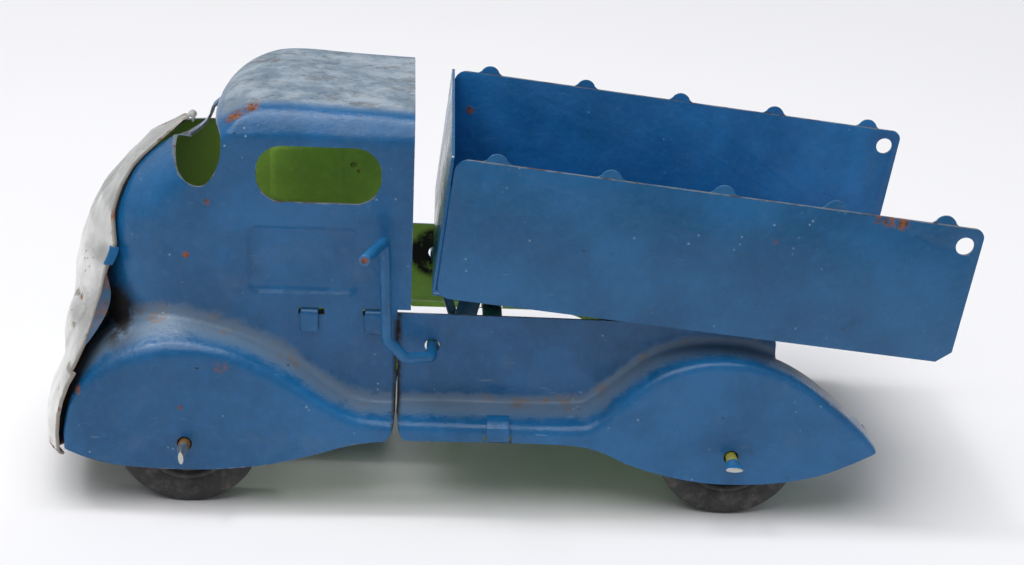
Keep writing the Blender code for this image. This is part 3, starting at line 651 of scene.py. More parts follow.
NOSE = (
    (0.034, -0.1310, -0.088), (0.060, -0.1312, -0.088), (0.076, -0.1295, -0.088), (0.086, -0.1263, -0.088),
    (0.094, -0.1220, -0.088), (0.1017, -0.1155, -0.087), (0.1065, -0.1103, -0.086), (0.111, -0.1034, -0.085),
    (0.115, -0.0975, -0.083), (0.119, -0.0923, -0.080), (0.1225, -0.0885, -0.077),
)
ROOF_FRONT_Z = 0.1352
ROOF_REAR_Z = 0.1322
SHOULDER = 0.0105
FRONT_CREST = ((-0.1293, 0.0265), (-0.1265, 0.0370), (-0.1205, 0.0455), (-0.109, 0.0525), (-0.095, 0.0565),
               (-0.081, 0.0567), (-0.070, 0.0535), (-0.058, 0.0468), (-0.044, 0.0380), (-0.034, 0.0335),
               (-0.022, 0.0318), (-0.010, 0.0314))
FRONT_CREASE = ((-0.1293, 0.0330), (-0.1265, 0.0430), (-0.1205, 0.0520), (-0.109, 0.0598), (-0.095, 0.0635),
                (-0.081, 0.0607), (-0.070, 0.0570), (-0.058, 0.0510), (-0.044, 0.0403), (-0.034, 0.0357),
                (-0.022, 0.0350), (-0.010, 0.0350))
FRONT_HEM = ((-0.010, 0.0270), (-0.022, 0.0266), (-0.035, 0.0250), (-0.050, 0.0203), (-0.063, 0.0170),
             (-0.078, 0.0150),
             (-0.093, 0.0145), (-0.109, 0.0153), (-0.1195, 0.0172), (-0.1293, 0.0210), (-0.140, 0.0250))
REAR_CREST = ((-0.0330, 0.0328), (-0.0213, 0.0326), (0.034, 0.0322), (0.044, 0.0335), (0.052, 0.0408),
              (0.062, 0.0500), (0.072, 0.0553), (0.084, 0.0577), (0.097, 0.0566), (0.110, 0.0514),
              (0.122, 0.0430), (0.1325, 0.0342), (0.1386, 0.0276))
REAR_CREASE = ((-0.0330, 0.0352), (-0.0213, 0.0352), (0.034, 0.0354), (0.044, 0.0385), (0.052, 0.0455),
               (0.062, 0.0535), (0.072, 0.0573), (0.084, 0.0588), (0.097, 0.0573), (0.110, 0.0520),
               (0.122, 0.0436), (0.1325, 0.0346), (0.1386, 0.0278))
REAR_HEM = ((0.1450, 0.0292), (0.1380, 0.0264), (0.131, 0.0228), (0.121, 0.0182), (0.108, 0.0150),
            (0.094, 0.0138),
            (0.081, 0.0142), (0.067, 0.0168), (0.056, 0.0202), (0.044, 0.0254), (0.028, 0.0270),
            (-0.0213, 0.0270), (-0.0330, 0.0270))


def cab_ring(half_width, front_x, turn_x, front_z, rear_x, rear_z, steps=40):
    ring = [(rear_x, -half_width, rear_z)]
    for i in range(steps + 1):
        angle = math.pi * i / steps
        x = turn_x + (front_x - turn_x) * math.sin(angle)
        share = (x - rear_x) / (front_x - rear_x)
        ring.append((x, -half_width * math.cos(angle), rear_z + (front_z - rear_z) * share))
    ring.append((rear_x, half_width, rear_z))
    return ring


def cab_block(name, rear_x, bottom_z):
    rings = []
    for height, front_x, turn_x in smooth_line(NOSE, 4):
        z = bottom_z if height <= NOSE[0][0] else height
        rings.append(cab_ring(CAB_Y, front_x, turn_x, z, rear_x, z))
    for step in range(9):
        angle = 0.5 * math.pi * step / 8
        drop = SHOULDER * (1.0 - math.sin(angle))
        inward = 1.0 - math.cos(angle)
        rings.append(cab_ring(CAB_Y - SHOULDER * inward, -0.0838 + 0.0175 * inward, -0.076 + 0.014 * inward,
                              ROOF_FRONT_Z - drop, rear_x, ROOF_REAR_Z - drop))
    return loft(name, rings)


def fender_blank(name, crest, crease, inner_y):
    """A solid fender down to well below its hem: the hem is cut later."""
    outer, inner = smooth_line(crest), smooth_line(crease)
    rings = []
    for y, low_by, share in ((FENDER_Y, 0.0022, 0.0), (FENDER_Y - 0.0007, 0.0006, 0.08),
                             (FENDER_Y - 0.0022, 0.0, 0.25), (CAB_Y, 0.0, 1.0), (inner_y, 0.0, 1.0)):
        ring = [(x, y, a + (b - a) * share - low_by) for (x, a), (_, b) in zip(outer, inner)]
        ring += [(outer[-1][0], y, 0.006), (outer[0][0], y, 0.006)]
        rings.append(ring)
    return loft(name, rings)


NEAR_SILL = ((-0.0990, 0.1144), (-0.0968, 0.1142), (-0.0945, 0.1132), (-0.0918, 0.1108), (-0.0886, 0.1087),
             (-0.0854, 0.1080), (-0.0829, 0.1091), (-0.0807, 0.1122), (-0.0790, 0.1162), (-0.0782, 0.1205))
FAR_SILL = ((-0.1040, 0.1100), (-0.1019, 0.1072), (-0.0970, 0.1054), (-0.0900, 0.1045), (-0.0850, 0.1047),
            (-0.0815, 0.1072), (-0.0795, 0.1120), (-0.0785, 0.1170), (-0.0782, 0.1205))
SCREEN_TOP = ((-0.0782, 0.1238), (-0.0795, 0.1256), (-0.0820, 0.1260), (-0.0850, 0.1256))


def windscreen_outline(sill):
    bowl = smooth_line(sill + SCREEN_TOP, 5)
    return bowl + [(-0.0900, 0.1262), (-0.1200, 0.1262), (-0.1200, 0.1144), (sill[0][0] - 0.0010, 0.1144)]


PLATE_ROWS = (
    (0.0170, 0.0550), (0.0195, 0.0578), (0.0260, 0.0585), (0.0325, 0.0585), (0.0380, 0.0585),
    (0.0440, 0.0583),
    (0.0500, 0.0575), (0.0560, 0.0535), (0.0620, 0.0455), (0.0690, 0.0415), (0.0780, 0.0388),
    (0.0860, 0.0362),
    (0.0940, 0.0318), (0.1017, 0.0258), (0.1065, 0.0195), (0.1110, 0.0130), (0.1152, 0.0070),
    (0.1180, 0.0035),
)


def seam_notch(name, material):
    """The small rounded notch where the cab's skirt and the board's skirt meet."""
    line = smooth_line(((-0.0268, 0.0240), (-0.0242, 0.0272), (-0.0224, 0.0300), (-0.0217, 0.0336),
                        (-0.0209, 0.0336),
                        (-0.0202, 0.0300), (-0.0188, 0.0275), (-0.0165, 0.0240)))
    return prism_y(name, line + [(-0.0165, 0.0150), (-0.0268, 0.0150)], -0.075, 0.075, (material,))


def mouth_outline(margin):
    right = [(min(half - margin, 0.0330), z) for z, half in smooth_line(PLATE_ROWS, 4) if 0.050 <= z <= 0.112]
    right = [(0.0330, 0.0)] + right
    return right + [(-y, z) for y, z in reversed(right)]


def below_hem(name, hem, y_low, y_high, material):
    """Everything under a hem line, as a cutter."""
    line = smooth_line(hem)
    outline = line + [(line[-1][0], -0.01), (line[0][0], -0.01)]
    return prism_y(name, outline, y_low, y_high, (material,))


def build_cab():
    parts = [cab_block("cab_core", -0.002, 0.006)]
    right = fender_blank("fender_right", FRONT_CREST, FRONT_CREASE, 0.020)
    parts += [right, mirror_y(right, "fender_left")]
    cab = voxelled(merged("cab_body", parts), 0.00085, 9)

    def press(points, normals):
        x, y, z = points.T
        move = np.zeros_like(points)
        wall = ramp(np.abs(y), CAB_Y - 0.0012, CAB_Y - 0.0004) * ramp(z, 0.068, 0.071)
        dx = np.where(y > 0.0, np.abs(x + 0.0583) - 0.0131, np.abs(x + 0.0523) - 0.0178)
        dz = np.abs(z - 0.0843) - 0.0112
        corner = 0.0030
        out = np.hypot(np.maximum(dx + corner, 0), np.maximum(dz + corner, 0)) - corner
        out = out + np.minimum(np.maximum(dx, dz) + corner, 0)
        panel = 0.00120 * (1.0 - ramp(out, -0.0013, 0.0006)) * wall
        dip = ramp(z, 0.1070, 0.1125) * (1.0 - ramp(z, 0.1145, 0.1270)) * (1.0
                                                                           - ramp(np.abs(y), 0.0040, 0.0110))
        move[:, 0] += 0.0068 * dip * (1.0 - ramp(x, -0.0880, -0.0800))
        crown = ramp(z, 0.1240, 0.1300) * (0.0013 * (y / CAB_Y) ** 2 + 0.0010
                                           * (1.0 - ramp(x, -0.0740, -0.0560)))
        move[:, 2] -= crown
        slow = waves(points, 0.022) * 0.00022 + waves(points, 0.009, 7.0) * 0.00006
        rear = 1.0 - ramp(x, -0.026, -0.019)
        return normals * (slow * (0.35 + 0.65 * rear) - panel)[:, None] + move

    displace(cab, press)
    cab.data.materials.append(OUT)
    shell(cab, GREEN, EDGE)
    edge = (EDGE,)
    cutters = [
        loft("cut_rear", [[(-0.0168, -0.07, z), (-0.0200, 0.07, z), (0.02, 0.07, z), (0.02, -0.07, z)]
                          for z in (-0.01, 0.16)], edge),
        block("cut_notch", (-0.0217, -0.07, -0.02), (-0.010, 0.07, 0.0680), edge),
        below_hem("cut_hem", FRONT_HEM, -0.075, 0.075, EDGE),
        seam_notch("cut_seam", EDGE),
        prism_x("cut_mouth", mouth_outline(0.0030), -0.160, -0.093, edge),
        prism_x("cut_nose_low", [(0.0540, 0.0), (0.0540, 0.026), (0.0500, 0.034), (0.0330, 0.042),
                                 (-0.0330, 0.042), (-0.0500, 0.034), (-0.0540, 0.026), (-0.0540, 0.0)],
                -0.160, -0.1245, edge),
        prism_y("cut_windows", stadium((-0.0674, 0.1040), (-0.0276, 0.1225), 0.0084), -0.07, 0.07, edge),
        prism_y("cut_screen_left", windscreen_outline(NEAR_SILL), -0.07, -0.0030, edge),
        prism_y("cut_screen_right", windscreen_outline(FAR_SILL), 0.0030, 0.07, edge),
        prism_y("cut_axle", circle((-0.5 * WHEELBASE, WHEEL_RADIUS), AXLE_HOLE, 32), -CROSS_CUT, CROSS_CUT,
                edge),
    ]
    for x in (-0.0503, -0.0294):
        half = 0.0036
        cutters.append(block("cut_slot", (x - half, -0.07, 0.0655), (x + half + 0.0012, 0.07, 0.0680), edge))
    for cutter in cutters:
        boolean(cab, cutter, solver=SOLVER)
    points = coordinates(cab)
    x, y, z = points.T
    crease_x, crease_z = np.array(smooth_line(FRONT_CREASE)).T
    crease = np.interp(x, crease_x, crease_z)
    side = np.abs(y)
    shelf = (1.0 - ramp(side, CAB_Y + 0.003, FENDER_Y - 0.001)) * (1.0
                                                                   - ramp(z, crease + 0.001, crease + 0.007))
    shelf *= ramp(side, 0.030, 0.040) * ramp(z, crease - 0.012,
                                             crease - 0.007) * (1.0 - ramp(x, -0.030, -0.018) * 0.3)
    # The fender tops next to the cab: dust, and painted light on these upward faces.
    attribute(cab, "dust_and_top_light", shelf)
    # The roof's top, for its scuffs and for a pale grey that is partly dust and partly a painted reflection.
    attribute(cab, "worn", ramp(z, 0.1265, 0.1305) * (1.0 - ramp(side, 0.0320, 0.0390)))
    # Painted shade: the corner where the nose's side meets the front fender top, and the strip along the rear
    # notch where the cab overlaps the frame, are darkened.
    near = np.exp(-(((x + 0.1150) / 0.0068) ** 2 + ((z - 0.0625) / 0.0072) ** 2))
    seam = ramp(x, -0.0232, -0.0220) * (1.0 - ramp(z, 0.064, 0.068))
    attribute(cab, "soot_and_shade", np.maximum(2.0 * near * ramp(side, 0.018, 0.028), 1.2 * seam))
    weight = np.full(len(points), 0.62)
    weight[(z > 0.060) & (z < 0.074) & (x > -0.060)] = 0.15
    weight[(x > -0.026) & (z < 0.070)] = 0.25
    weight[(z > 0.1035) & (z < 0.1235) & (x > -0.070) & (x < -0.025)] = 0.45
    weight[(z > 0.1035) & (z < 0.1075) & (x > -0.070) & (x < -0.025)] = 0.85
    sharp_rim(cab, weight=weight)
    return place(cab, "truck", "cab_shell")




# ---------------------------------------------------------------- front plate

PLATE_CENTRE_LOW = ((0.0170, -0.1400, -0.1318), (0.0195, -0.1424, -0.1330), (0.0260, -0.1420, -0.1330),
                    (0.0325, -0.1388, -0.1324), (0.0380, -0.1356, -0.1308), (0.0440, -0.1348, -0.1283),
                    (0.0500, -0.1344, -0.1250), (0.0560, -0.1340, -0.1222), (0.0620, -0.1335, -0.1205),
                    (0.0690, -0.1330, -0.1186), (0.0780, -0.1311, -0.1168), (0.0860, -0.1280, -0.1148))


def nose_x(y, z):
    for (z0, front0, turn0), (z1, front1, turn1) in zip(NOSE, NOSE[1:]):
        if z <= z1:
            break
    share = (z - z0) / (z1 - z0)
    front = front0 + (front1 - front0) * share
    turn = turn0 + (turn1 - turn0) * share
    return turn + (front - turn) * math.sqrt(max(0.0, 1.0 - (y / CAB_Y) ** 2))


def plate_x(y, z, half):
    """The plate's front face. It bows on its own below, follows the nose above and eases over between."""
    share = min(1.0, abs(y) / half)
    heights = [row[0] for row in PLATE_CENTRE_LOW]
    centre = float(np.interp(z, heights, [row[1] for row in PLATE_CENTRE_LOW]))
    rim = float(np.interp(z, heights, [row[2] for row in PLATE_CENTRE_LOW]))
    low = rim + (centre - rim) * (1.0 - share**2.2)
    high = nose_x(y, z) - 0.0016 - 0.0014 * share**2
    ease = min(1.0, max(0.0, (z - 0.076) / 0.012))
    ease = ease * ease * (3.0 - 2.0 * ease)
    return low + (high - low) * ease


def build_plate():
    rows = smooth_line(PLATE_ROWS, 8)
    columns = 96
    points, faces = [], []
    for z, half in rows:
        half = min(half, FENDER_Y)
        for i in range(columns + 1):
            share = 2.0 * i / columns - 1.0
            y = half * share
            x = plate_x(y, min(z, 0.1180), half)
            ribs = 0.00042 * math.cos(math.tau * y / 0.0052) * (1.0 - min(1.0, (abs(y) / 0.0145) ** 6))
            ribs *= float(ramp(np.array(z), 0.060, 0.086) * (1.0 - ramp(np.array(z), 0.096, 0.106)))
            lamp = math.hypot(abs(y) - 0.0310, (z - 0.0560) * 0.9)
            dome = 0.0016 * math.sqrt(max(0.0, 1.0 - (lamp / 0.0078) ** 2))
            ring = 0.0004 * math.exp(-(((lamp - 0.0088) / 0.0009) ** 2))
            bar = 0.0009 * math.exp(-(((z - 0.0395) / 0.0012) ** 2)) * (1.0 - abs(share) ** 8)
            curl = 0.0016 * max(0.0, abs(share) - 0.90) / 0.10 if z < 0.048 else 0.0
            points.append((x - ribs * 0.8 - dome - ring + bar + curl, y, z))
    row = columns + 1
    for level in range(len(rows) - 1):
        for i in range(columns):
            a = level * row + i
            faces.append([a, a + row, a + row + 1, a + 1])
    plate = add_mesh("front_plate", points, faces, (PLATE,))
    if plate.data.polygons[0].normal.x > 0:
        plate.data.flip_normals()
    displace(plate, lambda p, n: n
             * (waves(p, 0.016, 3.0) * 0.00035 + waves(p, 0.006, 5.0) * 0.00010)[:, None])
    points = coordinates(plate)
    inside = np.clip(points[:, 0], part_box("grille_plate")[0].x - SHIFT.x + 0.0001, None)
    points[:, 0] = inside
    plate.data.vertices.foreach_set("co", points.ravel())
    shell(plate, PLATE_BACK, PLATE)
    bevel = plate.modifiers.new("rim", "BEVEL")
    bevel.width = 0.00022
    bevel.segments = 2
    bevel.limit_method = "ANGLE"
    bevel.angle_limit = math.radians(50)
    settle(plate)
    sharp_rim(plate, 25.0, 0.0030)
    return place(plate, "truck", "grille_plate", slot="front_tin")


def build_plate_curl():
    """The plate's top end, rolled back on itself into a small open eye."""
    top = PLATE_ROWS[-1]
    x = plate_x(0.0, top[0], top[1])
    line = [(x + 0.0014 + 0.0014 * math.cos(a), top[0] - 0.0001 + 0.0014 * math.sin(a))
            for a in np.linspace(math.pi, -0.9, 22)]
    rings = []
    for y in np.linspace(-top[1] * 0.95, top[1] * 0.95, 9):
        wave = 0.0002 * math.sin(y * 900.0)
        outer = [(px, y, pz + wave) for px, pz in line]
        inner = [(x + 0.0014 + (px - x - 0.0014) * 0.5, y, top[0] + (pz - top[0]) * 0.5 + wave) for px,
                 pz in line]
        rings.append(outer + inner[::-1])
    curl = loft("plate_curl", rings, (PLATE,))
    attribute(curl, "rim", np.full(len(curl.data.vertices), 0.35))
    return place(curl, "truck", slot="front_tin")


def build_plate_tabs():
    """Two tabs of the cab's sheet that are folded over the plate's edge."""
    for name, sign in (("plate_tab_left", -1), ("plate_tab_right", 1)):
        points, faces = [], []
        rows, columns = 7, 10
        for j in range(rows):
            z = 0.0784 + 0.0056 * j / (rows - 1)
            half = float(np.interp(z, [r[0] for r in PLATE_ROWS], [r[1] for r in PLATE_ROWS]))
            for i in range(columns):
                share = i / (columns - 1)
                y = half - 0.0004 + share * 0.0022
                if share < 0.62:
                    x = plate_x(min(y, half), z, half) - 0.0009
                else:
                    x = plate_x(half, z, half) - 0.0009 + (share - 0.62) / 0.38 * 0.0026
                points.append((x, sign * min(y, half + 0.0009), z))
        for j in range(rows - 1):
            for i in range(columns - 1):
                a = j * columns + i
                faces.append([a, a + 1, a + columns + 1, a + columns])
        tab = add_mesh(name, points, faces, (OUT,))
        outward = sum((f.normal.x for f in tab.data.polygons))
        if outward > 0:
            tab.data.flip_normals()
        solid = tab.modifiers.new("thickness", "SOLIDIFY")
        solid.thickness = 0.0007
        solid.offset = 0.0
        bevel = tab.modifiers.new("soft", "BEVEL")
        bevel.width = 0.0002
        bevel.segments = 2
        settle(tab)
        attribute(tab, "rim", np.full(len(tab.data.vertices), 0.25))
        place(tab, "truck")


def build_plate_flanges():
    """Two folds of the plate's sheet that show behind its edge, and the lip under its lower end."""
    heights, halves = [row[0] for row in PLATE_ROWS], [row[1] for row in PLATE_ROWS]
    for name, sign in (("plate_fold_left", -1), ("plate_fold_right", 1)):
        rings = []
        for share in np.linspace(0.02, 0.98, 15):
            z = 0.0550 + 0.0205 * share
            half = float(np.interp(z, heights, halves))
            front, depth = plate_x(half, z, half) + 0.0004, 0.0036 * math.sin(math.pi * share)
            near, far = sign * (half - 0.0004), sign * (half - 0.0010)
            rings.append([(front, near, z), (front + depth, near, z), (front + depth, far, z),
                          (front, far, z)])
        fold = loft(name, rings, (PLATE_BACK,))
        attribute(fold, "rim", np.zeros(len(fold.data.vertices)))
        place(fold, "truck", slot="front_tin")
    rings = []
    for y in np.linspace(-0.0555, 0.0555, 45):
        front = plate_x(y, 0.0200, 0.0578) + 0.0004
        back = -0.1255 - 0.0043 * float(ramp(abs(y), 0.0440, 0.0475))
        rings.append([(front, y, 0.0196), (back, y, 0.0212), (back, y, 0.0218), (front, y, 0.0202)])
    lip = loft("plate_lip", rings, (PLATE_BACK,))
    attribute(lip, "rim", np.zeros(len(lip.data.vertices)))
    place(lip, "truck", slot="front_tin")


# ---------------------------------------------------------------- frame, boards and rear fenders

def build_frame():
    core = block("frame_core", (-0.070, -FRAME_Y, 0.010), (0.118, FRAME_Y, 0.080))
    right = fender_blank("skirt_right", REAR_CREST, REAR_CREASE, FRAME_Y - 0.006)
    body = voxelled(merged("frame_body", [core, right, mirror_y(right, "skirt_left")]), 0.00085, 7)
    displace(body, lambda p, n: n * (waves(p, 0.024, 11.0) * 0.00016 + waves(p, 0.009, 13.0) * 0.00005)[:,
                                                                                                        None])
    body.data.materials.append(OUT)
    shell(body, GREEN, EDGE)
    edge = (EDGE,)
    top = [(-0.080, 0.0670), (0.046, 0.0658), (0.098, 0.0644)]
    top += circle((0.098, 0.0584), 0.006, 12, 0.5 * math.pi, -0.5 * math.pi)[1:]
    over = top + [(0.104, 0.030), (0.160, 0.030), (0.160, 0.120), (-0.080, 0.120)]
    cutters = [
        prism_y("cut_over", over, -FRAME_Y - 0.0022, FRAME_Y + 0.0022, edge),
        block("cut_tail", (0.104, -FRAME_Y + 0.0009, -0.01), (0.16, FRAME_Y - 0.0009, 0.09), edge),
        block("cut_front", (-0.090, -0.08, -0.02), (-0.0560, 0.08, 0.12), edge),
        block("cut_front_low", (-0.090, -0.08, -0.02), (-0.0213, 0.08, 0.0545), edge),
        below_hem("cut_hem", REAR_HEM, -0.075, 0.075, EDGE),
        seam_notch("cut_seam", EDGE),
        prism_y("cut_axle", circle((0.5 * WHEELBASE, WHEEL_RADIUS), AXLE_HOLE, 32), -CROSS_CUT, CROSS_CUT,
                edge),
        prism_y("cut_lever", circle(LEVER, 0.0025, 32), -0.07, 0.07, edge),
        prism_y("cut_hinge", circle(HINGE, 0.0015, 24), -0.07, 0.07, edge),
    ]
    for index, side in enumerate((-1, 1)):
        low, high = sorted((side * (FENDER_Y - 0.0012), side * (FENDER_Y + 0.003)))
        cutters.append(block(f"cut_strap_{index}", (0.0076, low, 0.0272), (0.0170, high, 0.0295), edge))
    for cutter in cutters:
        boolean(body, cutter, solver=SOLVER)
    points = coordinates(body)
    x, y, z = points.T
    crease_x, crease_z = np.array(smooth_line(REAR_CREASE)).T
    crease = np.interp(x, crease_x, crease_z)
    side = np.abs(y)
    shelf = (1.0 - ramp(side, FRAME_Y + 0.004, FENDER_Y - 0.0015)) * (1.0
            - ramp(z, crease + 0.001, crease + 0.005))
    shelf *= ramp(side, FRAME_Y - 0.0005, FRAME_Y + 0.0002) * ramp(z, crease - 0.010, crease - 0.006)
    ring = np.hypot(x - LEVER[0], z - LEVER[1])
    # The rear fender and board tops: dust, and painted light on these upward faces.
    attribute(body, "dust_and_top_light", shelf)
    # Real grease round the lever's hole on the far side's inside, and painted shade on the frame's front end
    # where it runs behind the cab's rear edge.
    grease = np.where((y > 0) & (y < FRAME_Y - 0.0005), 1.3 * (1.0 - ramp(ring, 0.0075, 0.011)), 0.0)
    seam = (1.0 - ramp(x, -0.0210, -0.0195)) * ramp(side, FRAME_Y - 0.002, FRAME_Y - 0.001)
    attribute(body, "soot_and_shade", np.maximum(grease, 1.2 * seam))
    weight = np.full(len(points), 0.5)
    weight[x < 0.040] = 0.28
    sharp_rim(body, weight=weight)
    place(body, "truck", "chassis")

    deck_outline = [(0.0462, 0.0575), (0.1035, 0.0575), (0.1035, 0.0584), (0.0462, 0.0584)]
    deck = prism_y("frame_deck", deck_outline, -FRAME_Y + 0.0012, FRAME_Y - 0.0012, (GREEN,))
    add_bevel(deck, 0.0002)
    place(deck, "truck")


def add_bevel(thing, width, segments=2, angle=40.0):
    bevel = thing.modifiers.new("soft", "BEVEL")
    bevel.width = width
    bevel.segments = segments
    bevel.limit_method = "ANGLE"
    bevel.angle_limit = math.radians(angle)
    return settle(thing)


def swept_strip(name, line, thickness, low, high, across, material, steps=8):
    """A flat strap along a 2-D line; across says which axis it is wide in."""
    knots = [Vector(point) for point in line]
    left, right = [], []
    for index, knot in enumerate(knots):
        ways = []
        if index > 0:
            ways.append((knot - knots[index - 1]).normalized())
        if index < len(knots) - 1:
            ways.append((knots[index + 1] - knot).normalized())
        normals = [Vector((-way.y, way.x)) for way in ways]
        mitre = sum(normals, Vector((0.0, 0.0))).normalized()
        reach = 0.5 * thickness / max(0.4, mitre.dot(normals[0]))
        left.append(knot + mitre * reach)
        right.append(knot - mitre * reach)
    outline = left + right[::-1]
    rings = []
    for step in range(steps + 1):
        w = low + (high - low) * step / steps
        rings.append([(w, p.x, p.y) if across == "x" else (p.x, w, p.y) for p in outline])
    return loft(name, rings, (material,))


def build_tabs():
    """The frame's four tabs, folded down outside the cab's wall."""
    top = 0.0676
    for name, x, sign in (("tab_left_0", -0.0503, -1), ("tab_left_1", -0.0294, -1),
                          ("tab_right_0", -0.0503, 1), ("tab_right_1", -0.0294, 1)):
        outer = CAB_Y + 0.0011
        bend = [(outer - 0.0012 + 0.0012 * math.cos(a), top - 0.0012 + 0.0012 * math.sin(a))
                for a in np.linspace(0.5 * math.pi, 0.0, 7)]
        line = [(FRAME_Y - 0.0003, top)] + bend + [(outer + 0.0002, top - 0.0040),
                                                   (outer + 0.0001, top - 0.0074)]
        line = [(sign * y, z - 0.0004) for y, z in line]
        tab = swept_strip(name, line, 0.0009, x - 0.0029, x + 0.0029, "x", OUT)
        corner = tab.modifiers.new("corner", "BEVEL")
        corner.width = 0.00035
        corner.segments = 3
        corner.limit_method = "ANGLE"
        corner.angle_limit = math.radians(50)
        settle(tab)
        attribute(tab, "rim", np.where(coordinates(tab)[:, 2] < top - 0.0068, 0.5, 0.12))
        place(tab, "truck")


def build_strap():
    """The brace under the boards. Each end comes out of a slot and lies back over the board's edge."""
    z = 0.0284
    end = [(0.0440, 0.0329), (0.0552, 0.0306), (0.0562, z), (0.0590, z - 0.0002)]
    turn = [(0.0590 + 0.0006 * math.sin(a), z + 0.0006 - 0.0008 * math.cos(a))
            for a in np.linspace(0.2, 1.5, 5)]
    over = [(0.0596, 0.0300), (0.0590, 0.0324), (0.0572, 0.0339), (0.0538, 0.0345)]
    half = end + turn + over
    line = [(-y, h) for y, h in reversed(half)] + half
    strap = swept_strip("board_strap", line, 0.0009, 0.0086, 0.0160, "x", OUT, 6)
    add_bevel(strap, 0.00018)
    points = coordinates(strap)
    attribute(strap, "rim", np.where(np.abs(points[:, 1]) > 0.0545, 0.3, 0.0))
    attribute(strap, "dust_and_top_light", np.where(np.abs(points[:, 1]) < 0.0440, 0.8, 0.0))
    place(strap, "truck", "chassis_brace")


# ---------------------------------------------------------------- bed

BED_FRONT = -0.1087
BED_LENGTH = 0.1715
BED_HALF = 0.0553
BED_FLOOR = 0.0032
BED_TOP = 0.0500
BED_REAR = BED_FRONT + BED_LENGTH


def bed_wall_outline():
    """One side of the bed in its own frame, with round front corners and half-round lugs along the top."""
    low, front, rear = BED_FLOOR, BED_FRONT + 0.0014, BED_REAR
    line = circle((front + 0.0045, BED_TOP - 0.0045), 0.0045, 10, 0.5 * math.pi, 0.5 * math.pi)
    line += circle((front + 0.0045, low + 0.0045), 0.0045, 10, math.pi, 0.5 * math.pi)
    line += [(rear - 0.0052, low), (rear - 0.0006, low + 0.0040)]
    line += circle((rear - 0.0032, BED_TOP - 0.0032), 0.0032, 8, 0.0, 0.5 * math.pi)
    for index in reversed(range(5)):
        x = BED_FRONT + 0.0143 + 0.0360 * index
        fillet = [(x + 0.0046, BED_TOP), (x + 0.0040, BED_TOP + 0.0003)]
        dome = [(x + 0.0036 * math.cos(a), BED_TOP - 0.0006 + 0.0036 * math.sin(a))
                for a in np.linspace(0.42, math.pi - 0.42, 13)]
        line += fillet + dome + [(2 * x - px, pz) for px, pz in reversed(fillet)]
    return line


def bed_to_truck(thing):
    turn = Matrix.Rotation(BED_TILT, 4, "Y")
    thing.data.transform(Matrix.Translation((HINGE[0], 0.0, HINGE[1])) @ turn)


